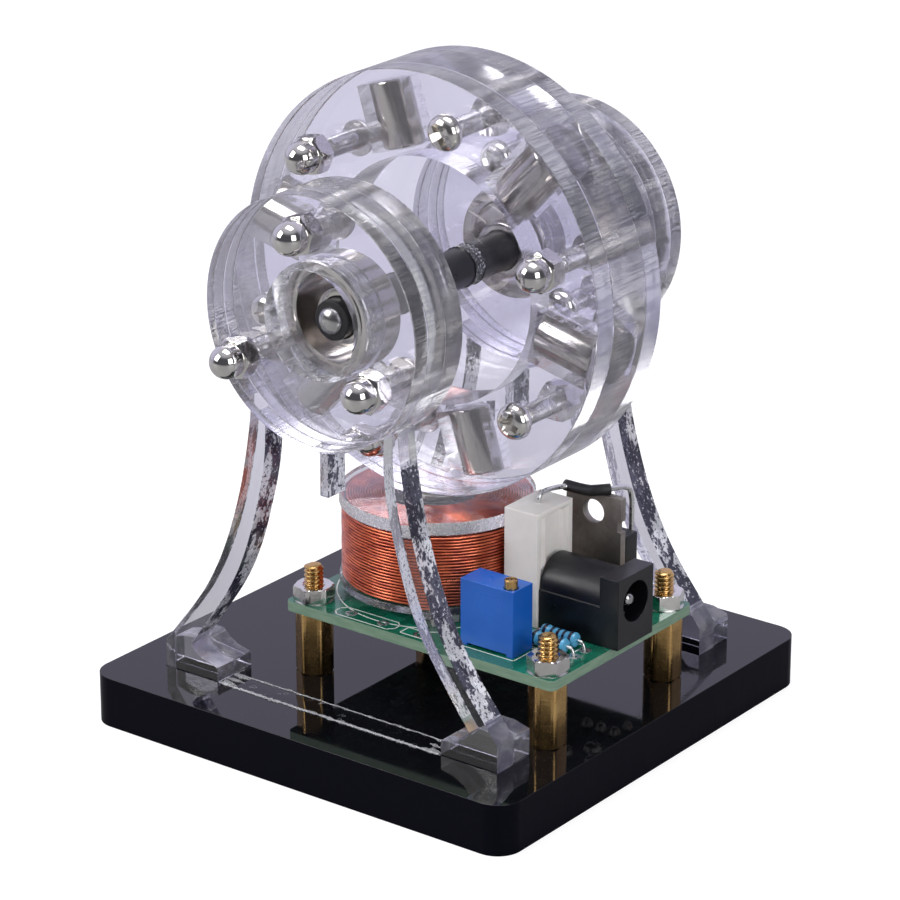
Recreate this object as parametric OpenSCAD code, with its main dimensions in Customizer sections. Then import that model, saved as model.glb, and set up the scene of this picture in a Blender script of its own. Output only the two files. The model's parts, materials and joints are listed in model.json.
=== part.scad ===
// Demonstration motor: a rotor of clear discs floats on ring magnets over one coil.
// Origin at the middle of the base's underside, +Z up, shaft along Y, power socket facing +X.

/* [Base] */
// Width of the base plate
base_w = 78; // [70:1:110]
// Depth of the base plate
base_d = 78; // [72:1:110]
// Thickness of the base plate
base_t = 8; // [6:0.5:12]
// Radius of its upright corners
base_corner_r = 4; // [1:0.5:10]

/* [Support frames] */
// Thickness of the clear sheet that frames, discs and rotor plates are cut from
sheet_t = 4; // [3:0.25:6]
// Thickness of the thinner clear covers
cover_t = 3; // [2:0.25:5]
// Distance from the front face of one frame to the front face of the other
frame_pitch = 52; // [44:1:60]
// Radius of the round heads of the frames
head_r = 19; // [16:0.1:24]
// Half of a frame's width over its feet
foot_half_span = 31.2; // [26:0.1:33]
// Height of the blunt outer end of a foot
foot_end_h = 3.75; // [2.5:0.25:6]
// Height of the block that backs each foot
foot_block_h = 6; // [4:0.25:9]
// Length of the block that backs each foot
foot_block_l = 10.2; // [6:0.1:14]
// Depth of the two slots in the base
slot_depth = 4; // [2:0.25:5]
// Width of the tongue that hangs under a frame's head
tongue_w = 1.6; // [1:0.1:4]
// Height of the tongue's tip over the base
tongue_tip_h = 35; // [30:0.5:41]

/* [Magnetic bearings] */
// Outer diameter of the ring magnets in the frames
ring_od = 17.4; // [15:0.1:20]
// Bore of the ring magnets in the frames
ring_id = 13; // [11:0.1:14.5]
// Length of the ring magnets in the frames
ring_l = 10; // [6:0.5:12]
// Mouth of the front cover, smaller than the ring behind it
cover_mouth_d = 16; // [13:0.1:17]
// Outer diameter of the ring magnets on the shaft
shaft_ring_od = 8.8; // [8:0.1:9.6]
// Length of the ring magnets on the shaft
shaft_ring_l = 10; // [6:0.5:12]
// How far the shaft's rings sit inwards of the frames' rings
shaft_ring_shift = 2; // [0:0.25:4]
// How far the floating shaft hangs below the ring magnets' axis
shaft_sag = 0.7; // [0:0.05:1]
// Gap between the rear shaft tip and its thrust pad
thrust_gap = 0.3; // [0.2:0.05:0.6]

/* [Rotor] */
// Radius of the rotor
rotor_r = 32.25; // [28:0.25:38.5]
// Thickness of the ring that holds the rotor magnets
carrier_t = 8; // [8:0.25:12]
// Diameter of the shaft
shaft_d = 6; // [4:0.1:7]
// Number of magnets, and of screws between them
magnet_count = 6; // [4:1:8]
// Diameter of a rotor magnet
magnet_d = 8; // [5:0.1:8]
// Length of a rotor magnet
magnet_l = 10; // [6:0.25:12]
// Clear material between a magnet's pocket and the rim
rim_w = 2.3; // [1:0.1:4]
// Clear material between a magnet's pocket and the carrier's central hole
web_w = 0.9; // [0.6:0.1:3]
// Angle of the first magnet, up from +X
first_magnet_angle = 47; // [0:1:59]

/* [Coil] */
// Place of the coil's axis along X
coil_x = 0; // [-3:0.25:3]
// Place of the coil's axis along Y
coil_y = -3; // [-4:0.25:4]
// Height of the coil from the underside of its lower end disc to its top
coil_h = 14.75; // [12:0.25:22]
// Radius of the coil's end discs
flange_r = 14.8; // [12:0.1:15]
// Thickness of the lower end disc
low_flange_t = 1.2; // [0.8:0.1:2.5]
// Thickness of the clear upper end disc
top_flange_t = 2; // [1:0.1:3]
// Height of the small feet under the coil
coil_foot_h = 1.8; // [1:0.1:3]
// Gap between the coil and the rotor
coil_gap = 0.9; // [0.5:0.1:2]
// Diameter of the iron core
core_d = 8; // [5:0.1:10]
// Diameter of the enamelled wire
wire_d = 0.45; // [0.3:0.01:0.5]
// Rise of the outer layer in one turn
turn_pitch = 0.88; // [0.86:0.01:1.4]

/* [Circuit board] */
// Width of the board along X
board_w = 49.5; // [46:0.5:54]
// Depth of the board along Y
board_d = 36; // [34:0.5:42]
// Thickness of the board
board_t = 1.6; // [1:0.1:2.4]
// Place of the board's right edge along X
board_right = 34; // [32:0.5:37]
// Gap between the front frame and the board's front edge
board_gap = 1.5; // [0.5:0.25:4]
// Height of the standoffs
standoff_h = 10; // [6:0.5:13]
// Width across the flats of the standoffs
standoff_af = 5; // [4:0.1:6]
// Distance of the standoffs from the board's edges
standoff_inset = 3.1; // [2.8:0.1:4]

/* [Components] */
// Length, width and height of the trimmer's housing
trimmer_size = [9.53, 4.83, 10.03]; // [4:0.01:11]
// Diameter of the trimmer's adjusting screw
trimmer_screw_d = 2; // [1.6:0.1:2.6]
// Length, width and height of the power socket
jack_size = [14.2, 9, 11]; // [8:0.1:16]
// Diameter of the power socket's mouth
jack_mouth_d = 6.3; // [5:0.1:7]
// Diameter of the power socket's centre pin
jack_pin_d = 2; // [1.3:0.1:2.6]
// Length, width and height of the ceramic resistor
ceramic_size = [6, 9, 18]; // [5:0.1:20]
// Width, thickness and height of the transistor's metal tab
tab_size = [10, 1.3, 15.6]; // [1:0.1:16]
// Diameter of the hole in the transistor's tab
tab_hole_d = 3.7; // [3:0.1:4.2]
// Width, thickness and height of the transistor's moulded body
mould_size = [10, 3.2, 9.2]; // [3:0.1:10]
// Length of a film resistor's body
film_l = 6.2; // [5:0.1:7]
// Diameter of a film resistor's body
film_d = 2.3; // [1.6:0.1:2.6]

/* [Hidden] */

// Smoothness of round surfaces
$fn = 96;
// How far a cut reaches past the face that it opens
overrun = 1;
// Thickness of the glue film between two clear sheets
glue_gap = 0.05;
// The front and the rear end of the shaft
FRONT = -1;
REAR = 1;
ends = [FRONT, REAR];

// Metric screws of 3 mm, which hold everything here
thread_r = 1.5;
thread_play = 0.05;
screw_hole_r = 1.6;
head_d = 5.6;
head_h = 2.2;
head_dome_r = 4;
nut_af = 5.5;
nut_h = 2.4;
// Acorn nuts: the hexagon, and the ball on it
acorn_hex_h = 2.8;
acorn_h = 6.5;
acorn_ball_r = 2.5;
acorn_bore_l = 5;
// How far a screw reaches into its acorn nut
acorn_grip = 4.6;

// Heights over the base's underside
board_z = base_t + standoff_h;
board_top = board_z + board_t;
low_flange_z = board_top + coil_foot_h;
flange_top_z = low_flange_z + coil_h;
rotor_z = flange_top_z + coil_gap + rotor_r;
ring_z = rotor_z + shaft_sag;
// Height of the ring magnets' axis over the base
axis_h = ring_z - base_t;

// Support frames
leg_steps = 14;
// A leg runs into the head at this share of the head's radius below its centre
leg_root_share = 0.785;
leg_top_h = axis_h - head_r * leg_root_share;
// Control points of a leg's two edges, as shares of the half span and of the leg's height
outer_edge_shares = [[0.356, 1], [0.375, 0.51], [0.663, 0.11]];
inner_edge_shares = [[0.259, 1], [0.272, 0.51], [0.583, 0.138], [0.825, 0]];
outer_edge = curve(concat(
    [for (s = outer_edge_shares) [s.x * foot_half_span, s.y * leg_top_h]],
    [[foot_half_span, foot_end_h]]));
inner_edge = curve([for (s = inner_edge_shares) [s.x * foot_half_span, s.y * leg_top_h]]);
slot_play = 0.1;
ring_play = 0.1;
ring_edge = 0.3;
ring_hole_r = ring_od / 2 + ring_play;
bearing_screws = 3;
bearing_screw_r = (ring_od / 2 + head_r) / 2;
bearing_screw_angles = [for (i = [0 : bearing_screws - 1]) 90 + 360 * i / bearing_screws];
// The rings' outer ends lie in the middle of the frames' outer sheets
ring_end = frame_pitch / 2 + sheet_t / 2;
ring_mid = ring_end - ring_l / 2;
pad_t = 0.5;
pad_r = 3;

// Rotor
shaft_r = shaft_d / 2;
shaft_half_l = ring_end;
shaft_edge = 0.3;
hub_play = 0.05;
tip_l = sheet_t / 2 - pad_t - thrust_gap;
// Radius of a tip as a share of the shaft's
tip_share = 0.7;
tip_r = shaft_r * tip_share;
tip_ball_r = (tip_r * tip_r + tip_l * tip_l) / (2 * tip_l);
rotor_half_t = carrier_t / 2 + sheet_t;
pocket_play = 0.1;
magnet_edge = 0.25;
magnet_mid_r = rotor_r - rim_w - pocket_play - magnet_l / 2;
carrier_hole_r = magnet_mid_r - magnet_l / 2 - pocket_play - web_w;
magnet_step = 360 / magnet_count;
first_screw_angle = first_magnet_angle - magnet_step / 2;

// Coil
core_play = 0.05;
hub_wall = 1.4;
hub_r = core_d / 2 + core_play + hub_wall;
winding_z = low_flange_z + low_flange_t;
top_flange_z = flange_top_z - top_flange_t;
winding_h = top_flange_z - winding_z;
// The outer turns are drawn with 24 flat stretches, which dip this far towards the winding
rings_per_turn = 24;
// Flange that stands out past the wire
flange_lip = 0.26;
turn_r = flange_r - flange_lip - wire_d / 2;
chord_dip = turn_r * (1 - cos(180 / rings_per_turn));
turn_lift = 0.02;
winding_r = turn_r - wire_d / 2 - chord_dip - turn_lift;
wire_sides = 6;
wire_bend_r = 0.7;
bend_steps = 4;
// Angle at which the wire comes up from the board
lead_angle = 200;
max_turns = 24;
turns_h = winding_h - wire_d - wire_bend_r - wire_d;
turns = min(floor(turns_h / turn_pitch), max_turns);
notch_play = 0.4;
coil_feet = 4;
coil_foot_w = 3;
coil_foot_mid_r = flange_r - coil_foot_w;

// Board and standoffs
board_left = board_right - board_w;
board_front = frame_y(FRONT) + sheet_t + board_gap;
board_rear = board_front + board_d;
board_corner_r = 1;
standoff_places = [
    for (x = [board_left + standoff_inset, board_right - standoff_inset])
        for (y = [board_front + standoff_inset, board_rear - standoff_inset]) [x, y]
];
stud_rise = 5.6;
stud_l = board_t + stud_rise;
standoff_bore_l = 5;
base_screw_grip = 4.5;
base_head_h = 2;
head_recess = 2.4;
head_recess_r = 3.2;
pin_tail = 1.1;
pin_play = 0.15;
pin_pitch = 2.54;
solder_h = 0.9;
solder_w = 0.5;
solder_fit = 0.01;

// Trimmer, measured from the board's right and front edges
trimmer_from_right = 9.35;
trimmer_from_front = 3.1;
trimmer_nub_h = 0.4;
trimmer_nub_w = 1.2;
trimmer_pin_r = 0.25;
trimmer_low = [board_right - trimmer_from_right - trimmer_size.x, board_front + trimmer_from_front];
trimmer_mid = [trimmer_low.x + trimmer_size.x / 2, trimmer_low.y + trimmer_size.y / 2];
trimmer_top = board_top + trimmer_nub_h + trimmer_size.z;
trimmer_screw_play = 0.1;
trimmer_screw_out = 1.4;
trimmer_screw_in = 1.5;
trimmer_screw_wall = 0.3;
trimmer_hole_r = trimmer_screw_d / 2 + trimmer_screw_play;
trimmer_screw_at = [
    trimmer_low.x + trimmer_size.x - trimmer_screw_wall - trimmer_hole_r,
    trimmer_low.y + trimmer_screw_wall + trimmer_hole_r
];
slot_w = 0.5;
slot_cut = 0.7;

// Power socket, its mouth over the board's right edge
jack_overhang = 1.25;
jack_from_front = 14.5;
jack_collar_l = 3.4;
jack_low = [board_right + jack_overhang - jack_size.x, board_front + jack_from_front];
jack_mid_y = jack_low.y + jack_size.y / 2;
jack_waist_h = 6.2;
jack_axis_h = 6.5;
jack_axis_z = board_top + jack_axis_h;
jack_barrel_inset = 0.2;
jack_barrel_r = jack_size.y / 2 - jack_barrel_inset;
jack_bore_l = 9.5;
jack_end_x = jack_low.x + jack_size.x;
jack_pin_back = 0.8;
jack_pin_edge = 0.4;
jack_spring_t = 0.3;
jack_spring_w = 1.8;
jack_spring_l = 7;
jack_spring_gap = 0.05;
tag_w = 2;
tag_t = 0.4;
tag_r = norm([tag_w, tag_t]) / 2;
// Places of the three tags as shares of the socket's length and width
tag_shares = [[0.12, 0.5], [0.5, 0.5], [0.32, 0.88]];
tag_places = [for (s = tag_shares) [jack_low.x + s.x * jack_size.x, jack_low.y + s.y * jack_size.y]];

// Ceramic resistor, standing behind the socket's rear end
ceramic_from_right = 13.1;
ceramic_from_front = 14.1;
ceramic_low = [board_right - ceramic_from_right - ceramic_size.x, board_front + ceramic_from_front];
ceramic_mid = [ceramic_low.x + ceramic_size.x / 2, ceramic_low.y + ceramic_size.y / 2];
ceramic_top = board_top + ceramic_size.z;
ceramic_rim_w = 1;
ceramic_recess = 0.5;
ceramic_lead_r = 0.4;

// Transistor, its tab facing the front
tab_from_right = 6.6;
tab_from_rear = 9.7;
tab_low = [board_right - tab_from_right - tab_size.x, board_rear - tab_from_rear];
tab_mid_x = tab_low.x + tab_size.x / 2;
transistor_lift = 2.6;
tab_z = board_top + transistor_lift;
tab_top = tab_z + tab_size.z;
tab_hole_drop = 3;
tab_notch_w = 0.6;
tab_notch_h = 1.6;
// Height of the notches in the tab's sides as a share of the tab's height
tab_notch_share = 0.66;
transistor_lead_w = 0.8;
transistor_lead_t = 0.5;
transistor_lead_r = norm([transistor_lead_w, transistor_lead_t]) / 2;
transistor_lead_y = tab_low.y + tab_size.y + mould_size.y / 2;

// Bare lead from the ceramic resistor's top, over the transistor and down behind it
lead_rise = 1.6;
lead_behind = 1.2;
lead_bend = 0.8;
lead_sides = 10;
sleeve_play = 0.05;
sleeve_r = 0.85;
lead_over_z = tab_top + sleeve_r + glue_gap;
sleeve_front_y = tab_low.y - sleeve_r - glue_gap;
// Places of the sleeve's corners, and of the lead behind it, as shares of the tab's width
sleeve_shares = [0.05, 0.45, 0.62, 0.75];
lead_down_share = 0.8;
sleeve_xs = [for (s = sleeve_shares) tab_low.x + s * tab_size.x];
sleeve_start = [sleeve_xs[0], sleeve_front_y, tab_top + sleeve_r / 2];
sleeve_low = [sleeve_xs[1], sleeve_front_y, tab_top + sleeve_r / 2];
sleeve_high = [sleeve_xs[2], sleeve_front_y, lead_over_z];
sleeve_end = [sleeve_xs[3], tab_low.y + tab_size.y / 2, lead_over_z];
lead_down_y = tab_low.y + tab_size.y + mould_size.y + lead_behind;
lead_down_x = tab_low.x + tab_size.x * lead_down_share;
ceramic_lead_path = [
    [ceramic_mid.x, ceramic_mid.y, ceramic_top],
    [ceramic_mid.x, ceramic_mid.y, ceramic_top + lead_rise],
    sleeve_start,
    sleeve_low,
    sleeve_high,
    sleeve_end,
    [lead_down_x, lead_down_y, lead_over_z - lead_rise / 2],
    [lead_down_x, lead_down_y, board_z - pin_tail]
];
sleeve_path = [sleeve_start, sleeve_low, sleeve_high, sleeve_end];

// Film resistors, lying between the trimmer and the socket
film_from_right = 4.2;
film_from_front = 9.3;
film_pitch = 2.7;
film_cap_l = 1.4;
film_waist_inset = 0.15;
film_waist_r = film_d / 2 - film_waist_inset;
film_lead_r = 0.25;
film_lead_out = 1.4;
film_z = board_top + film_d / 2 + glue_gap;
film_end_x = board_right - film_from_right;
film_ys = [for (i = [0, 1]) board_front + film_from_front + i * film_pitch];

// Places of all leads in the board, each with the lead's radius
trimmer_pin_places = [for (i = [-1 : 1]) [trimmer_mid.x + i * pin_pitch, trimmer_mid.y, trimmer_pin_r]];
film_pin_places = [
    for (y = film_ys)
        for (x = [film_end_x - film_l - film_lead_out, film_end_x + film_lead_out]) [x, y, film_lead_r]
];
transistor_pin_places = [
    for (i = [-1 : 1]) [tab_mid_x + i * pin_pitch, transistor_lead_y, transistor_lead_r]
];
ceramic_pin_places = [
    [ceramic_mid.x, ceramic_mid.y, ceramic_lead_r],
    [lead_down_x, lead_down_y, ceramic_lead_r]
];
jack_pin_places = [for (p = tag_places) [p.x, p.y, tag_r]];
pin_places = concat(
    trimmer_pin_places, film_pin_places, transistor_pin_places, ceramic_pin_places, jack_pin_places);

// Points along a cubic curve with the control points p
function curve(p) = [
    for (i = [0 : leg_steps])
        let (t = i / leg_steps, u = 1 - t)
            u * u * u * p[0] + 3 * u * u * t * p[1] + 3 * u * t * t * p[2] + t * t * t * p[3]
];

// The same list from its end to its start
function reversed(list) = [for (i = [len(list) - 1 : -1 : 0]) list[i]];

// Front face of a frame's own sheet, at either end of the shaft
function frame_y(end) = end * frame_pitch / 2;

// Front face of the disc in front of a frame, and of the cover in front of that
function disc_y(end) = frame_y(end) - sheet_t;
function cover_y(end) = disc_y(end) - cover_t;

// Where the heads and the acorn nuts of the bearing screws rest
function head_y(end) = end == FRONT ? frame_y(end) + sheet_t : cover_y(end);
function acorn_y(end) = end == FRONT ? cover_y(end) : frame_y(end) + sheet_t + cover_t;

// A flat outline in X and Z, stood upright and made thick from y_front backwards
module upright(y_front, depth) {
    translate([0, y_front + depth, 0])
        rotate([90, 0, 0])
            linear_extrude(height = depth)
                children();
}

// The same for a clear sheet, which leaves half a glue film free on each face
module clear_sheet(y_front, depth) {
    upright(y_front + glue_gap / 2, depth - glue_gap) children();
}

// Places children at a radius and an angle round an axis along Y, at the height z
module round_axis(z, radius, angle) {
    translate([0, 0, z])
        rotate([0, -angle, 0])
            translate([radius, 0, 0])
                children();
}

// Turns a shape drawn along +Z so that it points along Y, towards the given end
module pointing(end) {
    rotate([end == REAR ? -90 : 90, 0, 0]) children();
}

module rounded_plate(w, d, r, h) {
    linear_extrude(height = h)
        union() {
            square([w - 2 * r, d], center = true);
            square([w, d - 2 * r], center = true);
            for (x = [-1, 1])
                for (y = [-1, 1])
                    translate([x * (w / 2 - r), y * (d / 2 - r)])
                        circle(r = r);
        }
}

// A rod along +Z with both edges broken
module edged_rod(r, l, edge) {
    rotate_extrude()
        polygon([[0, 0], [r - edge, 0], [r, edge], [r, l - edge], [r - edge, l], [0, l]]);
}

// A ring along +Z with its outer edges broken
module edged_ring(r, bore_r, l, edge) {
    rotate_extrude()
        polygon([
            [bore_r, 0], [r - edge, 0], [r, edge], [r, l - edge], [r - edge, l], [bore_r, l]
        ]);
}

// A screw whose head stands on z = 0 and whose shank reaches down
module pan_screw(shank_l, cap_h = head_h) {
    intersection() {
        cylinder(d = head_d, h = cap_h);
        translate([0, 0, cap_h - head_dome_r])
            sphere(r = head_dome_r);
    }
    translate([0, 0, -shank_l])
        cylinder(r = thread_r, h = shank_l + cap_h / 2);
}

module hexagon_rod(across_flats, h) {
    cylinder(d = across_flats / cos(30), h = h, $fn = 6);
}

// A domed nut that stands on z = 0
module acorn_nut() {
    difference() {
        union() {
            hexagon_rod(nut_af, acorn_hex_h);
            cylinder(r = acorn_ball_r, h = acorn_h - acorn_ball_r);
            translate([0, 0, acorn_h - acorn_ball_r])
                sphere(r = acorn_ball_r);
        }
        translate([0, 0, -overrun])
            cylinder(r = thread_r + thread_play, h = acorn_bore_l + overrun);
    }
}

// A list of points with each inner corner rounded off, starting this far before it
function bent(points, bend) = concat(
    [points[0]],
    [for (i = [1 : len(points) - 2])
        let (corner = points[i], back = points[i - 1] - corner, on = points[i + 1] - corner)
            for (k = [0 : bend_steps])
                let (t = k / bend_steps, u = 1 - t)
                    corner + bend * (u * u * back / norm(back) + t * t * on / norm(on))],
    [points[len(points) - 1]]
);

// A bent wire through a list of points that never runs level along the bisector of +X and -Y
module bent_wire(corners, r) {
    line = bent(corners, lead_bend);
    last = len(line) - 1;
    across = [1, -1, 0];
    points = [
        for (i = [0 : last])
            let (way = line[min(i + 1, last)] - line[max(i - 1, 0)])
            let (side = cross(way, across) / norm(cross(way, across)))
            let (out = cross(side, way) / norm(way))
                for (k = [0 : lead_sides - 1])
                    let (a = 360 * k / lead_sides)
                        line[i] + r * (cos(a) * out + sin(a) * side)
    ];
    polyhedron(points = points, faces = tube_faces(last, lead_sides));
}

// Faces of a tube whose rings of points follow each other, both ends closed
function tube_faces(last, sides) = concat(
    [for (k = [1 : sides - 2]) [0, k, k + 1]],
    [for (i = [0 : last - 1])
        for (k = [0 : sides - 1])
            let (a = i * sides + k, b = i * sides + (k + 1) % sides)
                each [[a, a + sides, b], [b, a + sides, b + sides]]],
    [for (k = [1 : sides - 2])
        let (a = last * sides)
            [a, a + k + 1, a + k]]
);

// A wire bent square, made of straight rods with a ball in each corner
module square_wire(points, r) {
    for (i = [0 : len(points) - 2]) {
        step = points[i + 1] - points[i];
        translate(points[i])
            rotate([0, acos(step.z / norm(step)), atan2(step.y, step.x)])
                cylinder(r = r, h = norm(step));
    }
    for (i = [1 : len(points) - 2])
        translate(points[i])
            sphere(r = r);
}

module base_plate() {
    color("#101014")
        difference() {
            rounded_plate(base_w, base_d, base_corner_r, base_t);
            for (end = ends)
                translate([
                    -foot_half_span - slot_play, disc_y(end) - slot_play, base_t - slot_depth - slot_play
                ])
                    cube([
                        2 * (foot_half_span + slot_play),
                        sheet_t + slot_play,
                        slot_depth + slot_play + overrun
                    ]);
            for (p = standoff_places)
                translate([p.x, p.y, -overrun]) {
                    cylinder(r = screw_hole_r, h = base_t + 2 * overrun);
                    cylinder(r = head_recess_r, h = head_recess + overrun);
                }
        }
}

// Holes of the three bearing screws, round the ring magnets' axis
module bearing_screw_holes() {
    for (a = bearing_screw_angles)
        translate([0, ring_z])
            rotate(a)
                translate([bearing_screw_r, 0])
                    circle(r = screw_hole_r);
}

module bearing_outline(hole_r) {
    difference() {
        translate([0, ring_z])
            circle(r = head_r);
        if (hole_r > 0)
            translate([0, ring_z])
                circle(r = hole_r);
        bearing_screw_holes();
    }
}

module leg_outline(side) {
    points = concat(outer_edge, [[foot_half_span, 0]], reversed(inner_edge));
    placed = [for (p = points) [side * p.x, base_t + p.y]];
    polygon(side > 0 ? reversed(placed) : placed);
}

module frame_outline() {
    difference() {
        union() {
            translate([0, ring_z])
                circle(r = head_r);
            for (side = [-1, 1])
                leg_outline(side);
            translate([-tongue_w / 2, base_t + tongue_tip_h])
                square([tongue_w, axis_h - tongue_tip_h - head_r + tongue_w]);
        }
        translate([0, ring_z])
            circle(r = ring_hole_r);
        bearing_screw_holes();
    }
}

module frame(end) {
    color("#dfe8f2", 0.4)
        clear_sheet(frame_y(end), sheet_t)
            frame_outline();
}

// The space under a leg's outer edge, down into the slot
module under_leg(side) {
    points = concat(outer_edge, [[foot_half_span, -slot_depth], [outer_edge[0].x, -slot_depth]]);
    polygon([for (p = points) [side * p.x, base_t + p.y]]);
}

module foot_bar(end) {
    color("#dfe8f2", 0.4)
        clear_sheet(disc_y(end), sheet_t)
            union() {
                translate([-foot_half_span, base_t - slot_depth])
                    square([2 * foot_half_span, slot_depth]);
                for (side = [-1, 1])
                    intersection() {
                        under_leg(side);
                        translate([
                            side > 0 ? foot_half_span - foot_block_l : -foot_half_span,
                            base_t - slot_depth
                        ])
                            square([foot_block_l, slot_depth + foot_block_h]);
                    }
            }
}

module bearing_cover(end) {
    color("#dfe8f2", 0.4)
        clear_sheet(cover_y(end), cover_t)
            bearing_outline(end == FRONT ? cover_mouth_d / 2 : ring_hole_r);
}

module bearing_disc(end) {
    color("#dfe8f2", 0.4)
        clear_sheet(disc_y(end), sheet_t)
            bearing_outline(ring_hole_r);
}

module thrust_plate() {
    color("#dfe8f2", 0.4)
        clear_sheet(frame_y(REAR) + sheet_t, cover_t)
            bearing_outline(0);
}

module thrust_pad() {
    color("white")
        translate([0, frame_y(REAR) + sheet_t - pad_t, ring_z])
            pointing(REAR)
                cylinder(r = pad_r, h = pad_t);
}

module ring_magnet(end) {
    color("silver")
        translate([0, end * ring_mid - ring_l / 2, ring_z])
            pointing(REAR)
                edged_ring(ring_od / 2, ring_id / 2, ring_l, ring_edge);
}

module bearing_screw_set(end) {
    stack = abs(acorn_y(end) - head_y(end));
    color("silver")
        for (a = bearing_screw_angles)
            translate([0, head_y(end), 0])
                round_axis(ring_z, bearing_screw_r, a)
                    pointing(-end)
                        pan_screw(stack + acorn_grip);
}

module bearing_nut_set(end) {
    color("gainsboro")
        for (a = bearing_screw_angles)
            translate([0, acorn_y(end), 0])
                round_axis(ring_z, bearing_screw_r, a)
                    pointing(end)
                        acorn_nut();
}

module shaft() {
    color("#18181c")
        translate([0, -shaft_half_l, rotor_z])
            pointing(REAR)
                edged_rod(shaft_r, 2 * shaft_half_l, shaft_edge);
}

// Rounded tips, each the cap of a ball
module shaft_tips() {
    color("gray")
        for (end = ends)
            translate([0, end * shaft_half_l, rotor_z])
                pointing(end)
                    intersection() {
                        cylinder(r = tip_r, h = tip_l);
                        translate([0, 0, tip_l - tip_ball_r])
                            sphere(r = tip_ball_r);
                    }
}

module shaft_ring(end) {
    color("silver")
        translate([0, end * (ring_mid - shaft_ring_shift) - shaft_ring_l / 2, rotor_z])
            pointing(REAR)
                edged_ring(shaft_ring_od / 2, shaft_r + hub_play, shaft_ring_l, ring_edge);
}

module rotor_screw_holes() {
    for (i = [0 : magnet_count - 1])
        rotate(first_screw_angle + i * magnet_step)
            translate([magnet_mid_r, 0])
                circle(r = screw_hole_r);
}

module rotor_plate(end) {
    color("#dfe8f2", 0.4)
        clear_sheet(end == FRONT ? -rotor_half_t : carrier_t / 2, sheet_t)
            translate([0, rotor_z])
                difference() {
                    circle(r = rotor_r);
                    circle(r = shaft_r + hub_play);
                    rotor_screw_holes();
                }
}

module rotor_carrier() {
    color("#dfe8f2", 0.4)
        clear_sheet(-carrier_t / 2, carrier_t)
            translate([0, rotor_z])
                difference() {
                    circle(r = rotor_r);
                    circle(r = carrier_hole_r);
                    rotor_screw_holes();
                    for (i = [0 : magnet_count - 1])
                        rotate(first_magnet_angle + i * magnet_step)
                            translate([magnet_mid_r, 0])
                                square(
                                    [magnet_l + 2 * pocket_play, magnet_d + 2 * pocket_play],
                                    center = true);
                }
}

module rotor_magnets() {
    color("silver")
        for (i = [0 : magnet_count - 1])
            round_axis(rotor_z, magnet_mid_r - magnet_l / 2, first_magnet_angle + i * magnet_step)
                rotate([0, 90, 0])
                    edged_rod(magnet_d / 2 - glue_gap, magnet_l, magnet_edge);
}

// Every second screw is turned round, so each face shows as many heads as nuts
function nut_end(i) = i % 2 == 0 ? FRONT : REAR;

module rotor_screws() {
    color("silver")
        for (i = [0 : magnet_count - 1])
            translate([0, -nut_end(i) * rotor_half_t, 0])
                round_axis(rotor_z, magnet_mid_r, first_screw_angle + i * magnet_step)
                    pointing(-nut_end(i))
                        pan_screw(2 * rotor_half_t + acorn_grip);
}

module rotor_nuts() {
    color("gainsboro")
        for (i = [0 : magnet_count - 1])
            translate([0, nut_end(i) * rotor_half_t, 0])
                round_axis(rotor_z, magnet_mid_r, first_screw_angle + i * magnet_step)
                    pointing(nut_end(i))
                        acorn_nut();
}

module on_coil_axis(z) {
    translate([coil_x, coil_y, z]) children();
}

module coil_bobbin() {
    color("#e8e2d8")
        difference() {
            union() {
                on_coil_axis(low_flange_z)
                    cylinder(r = flange_r, h = low_flange_t);
                on_coil_axis(low_flange_z)
                    cylinder(r = hub_r, h = low_flange_t + winding_h - glue_gap);
                for (i = [0 : coil_feet - 1])
                    on_coil_axis(board_top)
                        rotate(45 + i * 360 / coil_feet)
                            translate([coil_foot_mid_r - coil_foot_w / 2, -coil_foot_w / 2, 0])
                                cube([coil_foot_w, coil_foot_w, coil_foot_h + low_flange_t / 2]);
            }
            on_coil_axis(low_flange_z - overrun)
                cylinder(r = core_d / 2 + core_play, h = low_flange_t + winding_h + 2 * overrun);
            on_coil_axis(low_flange_z - overrun)
                rotate(lead_angle)
                    translate([turn_r - wire_d / 2 - notch_play, -wire_d / 2 - notch_play, 0])
                        cube([flange_r, wire_d + 2 * notch_play, low_flange_t + 2 * overrun]);
        }
}

module coil_top_flange() {
    color("#dfe8f2", 0.4)
        on_coil_axis(top_flange_z)
            difference() {
                cylinder(r = flange_r, h = top_flange_t);
                translate([0, 0, -overrun])
                    cylinder(r = core_d / 2 + core_play, h = top_flange_t + 2 * overrun);
            }
}

module coil_core() {
    color("dimgray")
        on_coil_axis(low_flange_z)
            cylinder(d = core_d, h = flange_top_z - low_flange_z);
}

// The inner layers, a plain ring of copper under the outer turns
module coil_winding() {
    color("#a8452a")
        on_coil_axis(winding_z + glue_gap)
            difference() {
                cylinder(r = winding_r, h = winding_h - 2 * glue_gap);
                translate([0, 0, -overrun])
                    cylinder(r = hub_r + core_play, h = winding_h + 2 * overrun);
            }
}

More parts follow.
